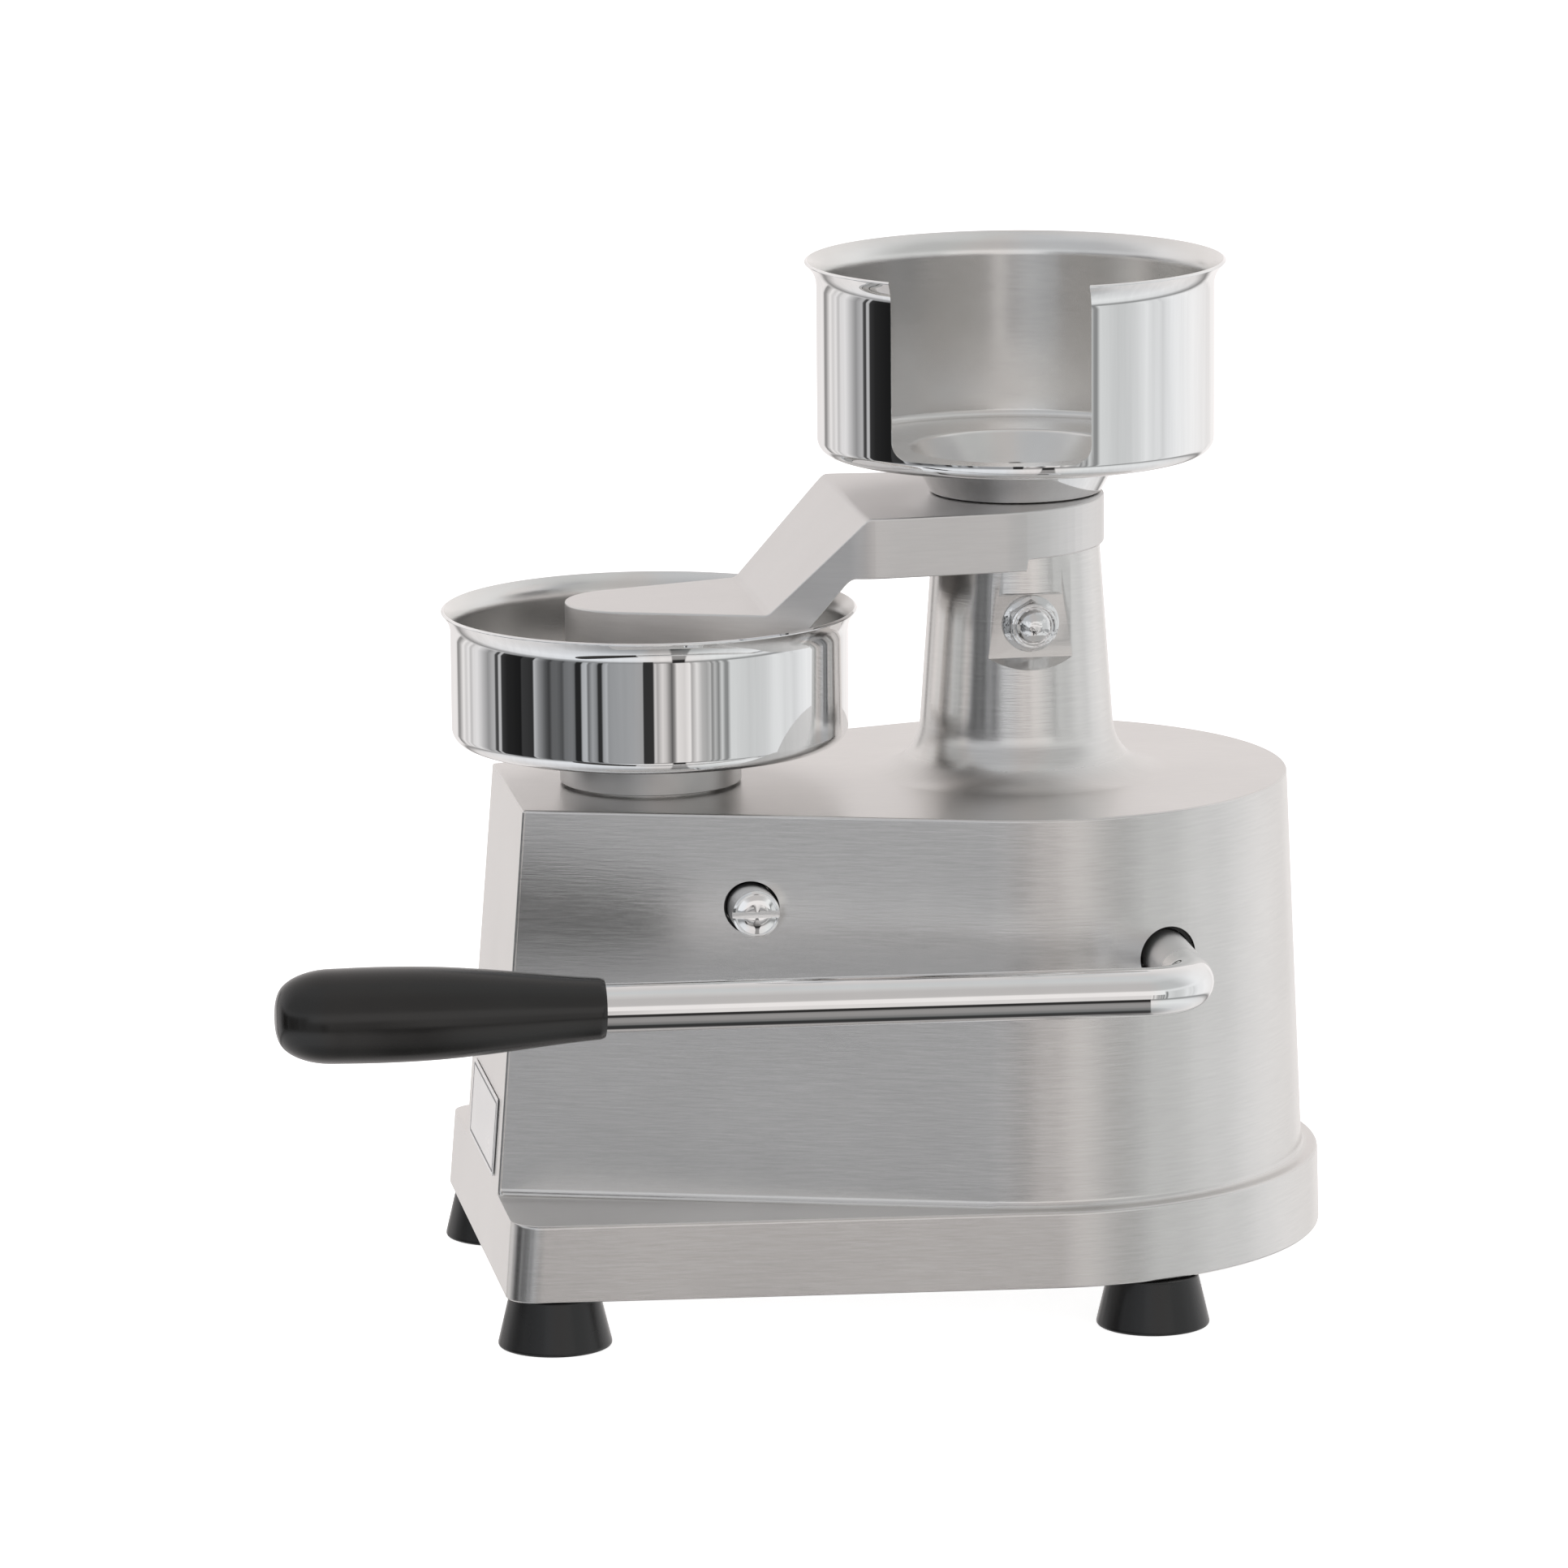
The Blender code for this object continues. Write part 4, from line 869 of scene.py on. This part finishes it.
def soft_steps(x, points):
    """Height of a polyline of (x, z, blend) points at x, with each bend eased over its blend length."""
    height = points[0][1]
    for (x0, z0, _), (x1, z1, _) in zip(points, points[1:]):
        if x >= x0:
            height = z0 + (z1 - z0) * min((x - x0) / (x1 - x0), 1)
    for (xa, za, _), (xb, zb, blend), (xc, zc, _) in zip(points, points[1:], points[2:]):
        if blend and abs(x - xb) < blend:
            slope_in = (zb - za) / (xb - xa)
            slope_out = (zc - zb) / (xc - xb)
            height = zb + slope_in * (x - xb) + (slope_out - slope_in) * (x - xb + blend) ** 2 / (4 * blend)
    return height


ARM_TOP_LINE = [
    (-0.05, ARM_PAD_TOP_Z, 0),
    (0.0345, ARM_PAD_TOP_Z, 0.0012),
    (ARM_WIDE_X, ARM_TOP_Z, 0.0012),
    (0.2, ARM_TOP_Z, 0),
]
ARM_FLOOR_LINE = [
    (-0.05, ARM_PAD_FLOOR_Z, 0),
    (0.0355, ARM_PAD_FLOOR_Z, 0.002),
    (0.061, ARM_RIM_Z, 0.002),
    (ARM_STEP_X, ARM_RIM_Z, 0),
    (ARM_STEP_X + 0.0001, ARM_RELIEF_Z, 0),
    (0.2, ARM_RELIEF_Z, 0),
]


def arm_half_width(x, inset):
    """Half width of the arm's plan, brought in all round by an inset."""
    toe_r, hub_r = ARM_TOE_R - inset, ARM_HUB_R - inset
    ahead = ARM_WIDE_X - ARM_TOE_X
    toe_end = atan2(ARM_HALF_WIDTH, ahead) + acos(ARM_TOE_R / hypot(ahead, ARM_HALF_WIDTH))
    touch = (ARM_TOE_X + toe_r * cos(toe_end), toe_r * sin(toe_end))
    side_slope = tan(toe_end - pi / 2)
    behind = ARM_WIDE_X - ARM_HUB_X
    hub_end = atan2(ARM_HALF_WIDTH, behind) - acos(ARM_HUB_R / hypot(behind, ARM_HALF_WIDTH))
    hub_slope = tan(hub_end - pi / 2)
    hub_touch = (ARM_HUB_X + hub_r * cos(hub_end), hub_r * sin(hub_end))
    if x <= touch[0]:
        return sqrt(max(toe_r**2 - (x - ARM_TOE_X) ** 2, 0))
    if x >= hub_touch[0]:
        return sqrt(max(hub_r**2 - (x - ARM_HUB_X) ** 2, 0))
    rising = touch[1] + (x - touch[0]) * side_slope
    falling = hub_touch[1] + (x - hub_touch[0]) * hub_slope
    ease = 0.0025
    gap = rising - falling
    if abs(gap) > ease:
        return min(rising, falling)
    return (rising + falling) / 2 - (gap * gap + ease * ease) / (4 * ease)


def arm_stations():
    """Places along the arm, closer together at its round ends and at its bends."""
    start, end = ARM_TOE_X - ARM_TOE_R, ARM_HUB_X + ARM_HUB_R
    stations = [start + 0.0225 * (1 - cos(radians(a))) for a in range(0, 90, 6)]
    stations += [end - 0.044 * (1 - cos(radians(a))) for a in range(0, 90, 5)]
    step = (end - start) / 60
    stations += [start + step * k for k in range(8, 60)]
    for bend, _, blend in ARM_TOP_LINE + ARM_FLOOR_LINE:
        if blend:
            stations += [bend + 0.0005 * k for k in range(-5, 6)]
    stations += [ARM_STEP_X, ARM_STEP_X + 0.0001]
    stations = sorted(x for x in stations if start <= x <= end)
    kept = [start]
    for x in stations:
        if x - kept[-1] > 0.00009:
            kept.append(x)
    kept[-1] = end
    return kept


def arm_mesh():
    """Rings of the plan outline stacked from the top's inner edge, over the side, to the floor's."""
    bm = bmesh.new()
    edge = 0.0007
    places = arm_stations()
    span = places[-1] - places[0]
    shares = [(x - places[0]) / span for x in places]
    loops = []
    levels = [(edge * (1 - s), -edge * (1 - c), ARM_TOP_LINE) for s, c in quarter(3)]
    levels += [(edge * (1 - c), edge * (1 - s), ARM_FLOOR_LINE) for s, c in quarter(3)]
    for inset, rise, line in levels:
        start, end = places[0] + inset, places[-1] - inset
        xs = [start + (end - start) * share for share in shares]
        half = [0] + [arm_half_width(x, inset) for x in xs[1:-1]] + [0]
        heights = [soft_steps(x, line) + rise for x in xs]
        left = [(x, h, z) for x, h, z in zip(xs, half, heights)]
        right = [(x, -h, z) for x, h, z in zip(xs[1:-1], half[1:-1], heights[1:-1])]
        loops.append([bm.verts.new(p) for p in left + right[::-1]])
    skin(bm, loops)
    count = len(places)
    for loop in (loops[0], loops[-1]):
        for i in range(count - 1):
            near = loop[-i] if i else loop[0]
            far = loop[-(i + 1)] if i + 1 < count - 1 else loop[count - 1]
            bm.faces.new(list(dict.fromkeys([loop[i], loop[i + 1], far, near])))
    return finished(bm)


def make_press_arm():
    arm = mesh_object("cranked_arm", arm_mesh(), [arm_aluminium])
    cut(arm, "DIFFERENCE", on_column(rod(0.032, ARM_RIM_Z - 0.01, ARM_RELIEF_Z, 128)))
    socket = [(0, 0.24), (0.0113, 0.24), (0.0113, 0.2613), (0.0045, 0.2613), (0.0045, 0.272), (0, 0.272)]
    cut(arm, "DIFFERENCE", on_column(turned(socket, 64)))
    bore = moved(rod(SCREW_BORE_R, 0.0, 0.04, 32), at(COLUMN_X, 0, 0.258) @ Matrix.Rotation(pi / 2, 4, "Y"))
    cut(arm, "DIFFERENCE", bore)
    finish_piece(arm, "plunger", "cast_aluminium", "press_arm", sharp_deg=30)


def make_plates():
    low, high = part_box("press_plate")
    radius = node_radius("press_plate")
    rim_z = low.z + 0.004
    corners = [
        (0.0061, low.z, 0),
        (radius, low.z, 0.001),
        (radius, rim_z, 0.0006),
        (0.018, rim_z, 0.001),
        (0.017, high.z, 0.0005),
        (SCREW_BORE_R, high.z, 0),
        (SCREW_BORE_R, low.z + 0.0033, 0),
    ]
    plate_item = mesh_object("press_disc", turned(rounded(corners), 160), [mould_inside])
    finish_piece(plate_item, "plunger", "brushed_steel", "press_plate")

    low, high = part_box("ejector_plate")
    radius = node_radius("ejector_plate")
    corners = [
        (SCREW_BORE_R, low.z, 0),
        (radius, low.z, 0.0006),
        (radius, high.z, 0.0006),
        (0.0055, high.z, 0),
        (0.003, low.z + 0.0004, 0),
    ]
    plate_item = mesh_object("ejector_disc", turned(rounded(corners), 160), [mould_inside])
    finish_piece(plate_item, "ejector", "brushed_steel", "ejector_plate")


# ---- lever ----


def make_lever_rod():
    """The shaft and the handle bar: one bent round bar."""
    centre = (SHAFT_X - ROD_BEND_R, ROD_Y + ROD_BEND_R)
    chamfer = 0.0006
    path = [(SHAFT_X, SHAFT_LEFT_END_Y, SHAFT_R - chamfer), (SHAFT_X, SHAFT_LEFT_END_Y - chamfer, SHAFT_R)]
    path += [(SHAFT_X, 0.0, SHAFT_R)]
    path += [(x, y, SHAFT_R) for x, y in arc(centre, ROD_BEND_R, 0, -90, 40)]
    path += [(ROD_END_X + chamfer, ROD_Y, SHAFT_R), (ROD_END_X, ROD_Y, SHAFT_R - chamfer)]
    sides = 64
    up = Vector((0, 0, 1))
    rings = []
    for i, (x, y, radius) in enumerate(path):
        before, after = path[max(i - 1, 0)], path[min(i + 1, len(path) - 1)]
        heading = Vector((after[0] - before[0], after[1] - before[1], 0)).normalized()
        across, spot = heading.cross(up), Vector((x, y, SHAFT_Z))
        angles = [2 * pi * k / sides for k in range(sides)]
        rings.append([spot + across * (radius * cos(a)) + up * (radius * sin(a)) for a in angles])
    bar = mesh_object("lever_bar", moved(loft(rings), turn_about_y(LEVER_TILT, SHAFT_X, SHAFT_Z)), [chrome])
    finish_piece(bar, "lever", "chrome", "lever_rod")


def make_grip():
    bore_r = SHAFT_R + GAP
    bore_depth = GRIP_MOUTH_X - ROD_END_X + GAP
    knots = [
        (0.01, 0.0012),
        (0.011, 0.013),
        (0.0137, 0.038),
        (0.015, 0.055),
        (GRIP_R, 0.07),
        (0.0153, 0.083),
        (0.0149, 0.092),
        (0.013, 0.0988),
        (0.0098, 0.1034),
        (0.0055, GRIP_LENGTH - 0.0005),
        (0.0, GRIP_LENGTH),
    ]
    profile = [(bore_r, 0.0), (0.0095, 0.0)] + smooth_curve(knots, 8)
    profile += [(0, bore_depth), (bore_r, bore_depth)]
    place = at(GRIP_MOUTH_X, ROD_Y, SHAFT_Z) @ Matrix.Rotation(-pi / 2, 4, "Y")
    bm = moved(turned(profile, 96), place)
    grip = mesh_object("lever_grip", moved(bm, turn_about_y(LEVER_TILT, SHAFT_X, SHAFT_Z)), [grip_plastic])
    finish_piece(grip, "lever", "grip_plastic", "grip")


def make_shaft_bushes():
    bore_r, outer_r = SHAFT_R + GAP, SHAFT_BORE_R - GAP
    for side in ("right", "left"):
        low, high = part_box("shaft_bush_" + side)
        start, end = SHIFT.y - high.y, SHIFT.y - low.y
        corners = [
            (bore_r, start, 0.0002),
            (outer_r, start, 0.0003),
            (outer_r, end, 0.0003),
            (bore_r, end, 0.0002),
        ]
        bush = mesh_object("shaft_sleeve_" + side, turned(rounded(corners), 72), [bush_plastic])
        bush.data.transform(towards_right(SHAFT_X, SHAFT_Z))
        finish_piece(bush, "base", "bush_plastic", "shaft_bush_" + side)


# ---- pivot pin and guide bolt ----


def make_pivot_pin():
    end = PIVOT_RIGHT_END
    corners = [
        (0, -0.061, 0),
        (PIVOT_R, -0.061, 0.0005),
        (PIVOT_R, end - 0.0013, 0.0006),
        (0.007, end - 0.0006, 0.0003),
        (0.0066, end - 0.001, 0.0002),
        (0.0045, end - 0.0003, 0.006),
        (0, end, 0),
    ]
    pin = mesh_object("slotted_pin", turned(rounded(corners), 80), [pin_chrome])
    pin.data.transform(towards_right(PIVOT_X, PIVOT_Z))
    slot_depth = 0.0024
    slot = moved(plate(rectangle(0.01, 0.001, 0), -end - 0.002, -end + slot_depth), at(PIVOT_X, 0, PIVOT_Z))
    cut(pin, "DIFFERENCE", slot)
    bevel(pin, 0.00018)
    finish_piece(pin, "base", "chrome", "pivot_pin")


def make_guide_bolt():
    """Flanged hexagon bolt with a round domed face."""
    seat = -SPOT_FACE_Y + GAP
    corners = [
        (0, 0.0082, 0),
        (0.003, 0.0082, 0.0003),
        (0.003, 0.012, 0),
        (0.005, 0.0125, 0),
        (0.005, seat, 0),
        (0.0095, seat, 0.0002),
        (0.0096, seat + 0.0008, 0.0003),
        (0.0089, seat + 0.0012, 0.0002),
        (0.0066, seat + 0.0022, 0.0004),
        (0.0066, seat + 0.0048, 0),
        (0.0078, seat + 0.0052, 0.0003),
        (0.0078, seat + 0.0066, 0.0005),
        (0.007, seat + 0.0069, 0.0002),
        (0.0065, seat + 0.0065, 0.0002),
        (0.006, seat + 0.0067, 0.0002),
        (0.0048, seat + 0.0084, 0.003),
        (0.0022, seat + 0.0095, 0.003),
        (0, seat + 0.0096, 0),
    ]
    bolt = mesh_object("flanged_bolt", turned(rounded(corners), 96), [bolt_chrome])
    across_corners = 0.0074 / cos(pi / 6)
    hexagon = mesh_object("hexagon", rod(across_corners, seat + 0.0008, seat + 0.0056, 6), [bolt_chrome])
    cone = [(0, seat), (0.0098, seat), (0.0077, seat + 0.0057), (0, seat + 0.0057)]
    cut(hexagon, "INTERSECT", turned(cone, 96))
    bevel(hexagon, 0.0002)
    cut(bolt, "UNION", moved(take_mesh(hexagon), Matrix.Rotation(pi / 2, 4, "Z")))
    bolt.data.transform(towards_right(COLUMN_X, GUIDE_BOLT_Z, 0))
    finish_piece(bolt, "base", "fastener_steel", "guide_bolt")


# ---- carried-over CAD nodes ----

NODE_MATERIALS = dict.fromkeys(("column_bush_upper", "column_bush_lower", "ejector_bush"), bronze)
NODE_MATERIALS |= dict.fromkeys(("crank", "bell_crank", "ejector_link", "plunger", "ejector_rod"), bar_steel)


def paint_cad_nodes():
    for name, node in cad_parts.items():
        if node.hide_render:
            continue
        node.data.materials.clear()
        node.data.materials.append(NODE_MATERIALS.get(name, fastener))


# ---- stage, light and camera ----

# Brightness round the horizon, a quarter turn at a time, by the angle from the camera's side in
# degrees, +90 being its right.  Dark stops are studio flags and bright ones are softboxes.
HORIZON = [
    [
        (-180, 0.98), (-166, 0.84), (-152, 0.88), (-149, 0.8), (-147, 0.3), (-144, 0.32), (-140, 0.62),
        (-137, 0.88), (-133, 0.66), (-129, 0.84), (-126, 0.56), (-123, 0.76), (-118, 0.8), (-116, 0.7),
        (-111, 0.48), (-107, 0.31), (-102.5, 0.46), (-101, 0.46), (-100, 0.08), (-98, 0.05), (-97, 0.5),
        (-95.5, 0.5), (-94.5, 0.04), (-90, 0.02),
    ],
    [
        (-90, 0.02), (-79.5, 0.012), (-78.5, 0.045), (-70.6, 0.03), (-69.6, 0.5), (-67, 0.3), (-65, 0.22),
        (-62, 0.1), (-59.5, 0.05), (-57.5, 0.13), (-54.5, 0.13), (-51, 0.08), (-49.5, 0.17), (-45, 0.2),
        (-43.5, 0.17), (-42.5, 0.02), (-39.5, 0.02), (-38.5, 0.45), (-36, 0.52), (-35, 0.15), (-32.5, 0.37),
        (-30, 0.25), (-29, 0.03), (-27, 0.03), (-26.2, 0.34), (-24, 0.48), (-23, 0.31), (-20, 0.35),
        (-6, 0.39), (0, 0.36),
    ],
    [
        (0, 0.36), (3, 0.36), (4, 0.7), (5.2, 0.42), (8, 0.72), (10, 0.58), (13.5, 0.12), (15, 0.3),
        (16.5, 0.8), (21, 0.71), (24, 0.87), (25, 0.43), (26.5, 0.6), (28, 0.8), (31, 0.5), (34, 0.4),
        (36, 0.56), (37, 0.24), (38.8, 0.53), (41, 0.24), (43, 0.68), (45, 0.29), (46.5, 0.26), (48.5, 0.72),
        (60, 0.62), (69, 0.66), (73, 0.7), (80, 0.82), (86, 0.74), (90, 0.79),
    ],
    [
        (90, 0.79), (93, 0.7), (96, 0.78), (103, 0.88), (112, 0.9), (120, 0.95), (143, 0.88), (149, 0.84),
        (155, 0.95), (180, 1.0),
    ],
]
# Elevations between which that band fades in and out.
BAND = (-23, -18.5, 5, 12)
# Brightness above and below it by elevation in degrees, before and behind the object.
RISE_FRONT = [
    (-90, 0.03), (-80, 0.04), (-74, 0.17), (-58, 0.3), (-44, 0.32), (-36, 0.26), (-32, 0.03), (-22, 0.03),
    (-19, 0.3), (-7, 0.47), (7, 0.75), (14, 0.8), (20, 0.56), (30, 0.54), (49, 0.54), (69, 0.64),
    (90, 0.62),
]
RISE_BACK = [
    (-90, 0.03), (-76, 0.05), (-70, 0.4), (-30, 0.6), (-10, 0.88), (20, 0.91), (35, 0.88), (62, 0.72),
    (90, 0.62),
]
# Brightness below the band beside a narrow strip in front.  The pans' curved feet and rims show it,
# and the strip, given by its edges along X, is what the handle bar shows.
RISE_SIDES = [(-90, 0.3), (-60, 0.68), (-40, 0.84), (-30, 0.78), (-24, 0.3), (-20, 0.55)]
STRIP = (0.08, 0.1, 0.2, 0.22)
# A narrow flag and a broad softbox in front: edges of angle, edges of elevation, brightness.
PANES = [
    ((-3.4, -2.6, 2.6, 3.4), (-28, -26, -10, -7), 0.035),
    ((-21, -19, 42, 44), (-3.5, -2, 13, 17), 0.9),
]
# A faint tint of all of it by the angle that HORIZON uses.
TINTS = [
    (-180, (1.0, 0.955, 0.945)), (-140, (1.0, 0.97, 0.96)), (-95, (1.0, 1.0, 1.02)),
    (-40, (0.96, 0.99, 1.03)), (-10, (0.97, 0.99, 1.02)), (5, (1.0, 0.96, 0.945)),
    (22, (1.0, 0.965, 0.95)), (45, (0.98, 1.0, 1.0)), (100, (0.99, 1.0, 1.01)),
    (150, (1.0, 0.975, 0.965)), (180, (1.0, 0.955, 0.945)),
]


def grey_ramp(tree, socket, stops):
    """Brightness through (position, level) stops."""
    ramp = add(tree, "ValToRGB", {"Fac": socket})
    set_stops(ramp, [(position, (level, level, level)) for position, level in stops])
    return ramp.outputs["Color"]


def mix_colours(tree, factor, first, second, mode="MIX"):
    inputs = {"Fac": factor, "Color1": first, "Color2": second}
    return add(tree, "MixRGB", inputs, blend_type=mode).outputs["Color"]


def dot(tree, vector, axis):
    return add(tree, "VectorMath", {0: vector, 1: axis}, operation="DOT_PRODUCT").outputs["Value"]


def grey(level):
    return (level, level, level, 1)


def sines(*angles_deg):
    return [sin(radians(a)) for a in angles_deg]


def turns(*angles_deg):
    return [radians(a) for a in angles_deg]


def window(tree, socket, edges):
    """1 between the two middle edges, easing to 0 at the outer ones."""
    rise = remap(tree, socket, edges[0], edges[1], 0, 1, True)
    fall = remap(tree, socket, edges[2], edges[3], 1, 0, True)
    return calc(tree, "MULTIPLY", rise, fall)


def pane(tree, angle, height, sides_deg, levels_deg):
    """A soft-edged pane of the sky between two angles and two elevations."""
    across = window(tree, angle, turns(*sides_deg))
    return calc(tree, "MULTIPLY", across, window(tree, height, sines(*levels_deg)))


def elevation_ramp(tree, share, stops):
    return grey_ramp(tree, share, [((sin(radians(a)) + 1) / 2, level) for a, level in stops])


def make_surroundings():
    """A studio painted on the world: flags and softboxes round the horizon, a softer room elsewhere."""
    world = bpy.data.worlds.new("studio")
    scene.world = world
    world.use_nodes = True
    tree = world.node_tree
    shader = tree.nodes["Background"]
    direction = add(tree, "TexCoord").outputs["Generated"]
    ahead = Vector((sin(CAMERA_AZIMUTH), -cos(CAMERA_AZIMUTH), 0))
    forward = dot(tree, direction, ahead)
    sideways = dot(tree, direction, Vector((-ahead.y, ahead.x, 0)))
    height = dot(tree, direction, (0, 0, 1))
    angle = calc(tree, "ARCTAN2", sideways, forward)

    horizon = None
    for quarter_turn, stops in enumerate(HORIZON):
        start = 90 * quarter_turn - 180
        share = remap(tree, angle, radians(start), radians(start + 90), 0, 1)
        ramp = grey_ramp(tree, share, [((a - start) / 90, level) for a, level in stops])
        beyond = calc(tree, "GREATER_THAN", angle, radians(start))
        horizon = mix_colours(tree, beyond, horizon, ramp) if horizon else ramp

    share = remap(tree, height, -1, 1, 0, 1)
    rises = (RISE_FRONT, RISE_BACK, RISE_SIDES)
    front, back, low_sides = (elevation_ramp(tree, share, stops) for stops in rises)
    room = mix_colours(tree, remap(tree, forward, -0.35, 0.35, 0, 1, True), back, front)
    strip = window(tree, dot(tree, direction, (1, 0, 0)), STRIP)
    low = remap(tree, height, *sines(-24, -19), 1, 0, True)
    beside = calc(tree, "MULTIPLY", remap(tree, strip, 0, 1, 1, 0), low)
    room = mix_colours(tree, beside, room, low_sides)

    studio = mix_colours(tree, window(tree, height, sines(*BAND)), room, horizon)
    for sides_deg, levels_deg, level in PANES:
        studio = mix_colours(tree, pane(tree, angle, height, sides_deg, levels_deg), studio, grey(level))
    tint_ramp = add(tree, "ValToRGB", {"Fac": remap(tree, angle, -pi, pi, 0, 1)})
    set_stops(tint_ramp, [((a + 180) / 360, colour) for a, colour in TINTS])
    studio = mix_colours(tree, 1.0, studio, tint_ramp.outputs["Color"], "MULTIPLY")
    seen_directly = add(tree, "LightPath").outputs["Is Camera Ray"]
    tree.links.new(mix_colours(tree, seen_directly, studio, grey(1.0)), shader.inputs["Color"])
    shader.inputs["Strength"].default_value = 1.0


def make_floor():
    """Pale studio floor: it catches a soft shadow and isn't seen in the metal."""
    bm = bmesh.new()
    bmesh.ops.create_grid(bm, x_segments=1, y_segments=1, size=12)
    material, _, shader = new_material("studio_floor", (0.86, 0.86, 0.86), 0.9, 0.0)
    shader.inputs["Emission Color"].default_value = (1, 1, 1, 1)
    shader.inputs["Emission Strength"].default_value = 0.86
    floor = mesh_object("studio_floor", bm, [material])
    floor.location.z = -0.0002
    floor.visible_glossy = False
    floor.visible_diffuse = False
    floor.visible_shadow = False


def make_camera():
    data = bpy.data.cameras.new("camera")
    data.lens = CAMERA_LENS
    data.sensor_width = 36
    data.clip_start = 0.05
    camera = bpy.data.objects.new("camera", data)
    az, el = CAMERA_AZIMUTH, CAMERA_ELEVATION
    back = Vector((sin(az) * cos(el), -cos(az) * cos(el), sin(el)))
    right = (-back).cross(Vector((0, 0, 1))).normalized()
    up = right.cross(-back)
    rolled_right = right * cos(CAMERA_ROLL) + up * sin(CAMERA_ROLL)
    rolled_up = up * cos(CAMERA_ROLL) - right * sin(CAMERA_ROLL)
    turn = Matrix((rolled_right, rolled_up, back)).transposed().to_4x4()
    camera.matrix_world = Matrix.Translation(CAMERA_PLACE + SHIFT) @ turn
    scene.collection.objects.link(camera)
    scene.camera = camera


# ---- the whole scene ----

make_camera()
make_surroundings()
make_floor()
make_casting()
make_name_plate()
make_feet()
make_mould()
make_paper_holder()
make_holder_screw()
make_press_arm()
make_plates()
make_lever_rod()
make_grip()
make_shaft_bushes()
make_pivot_pin()
make_guide_bolt()
paint_cad_nodes()
scene.view_settings.view_transform = "Standard"
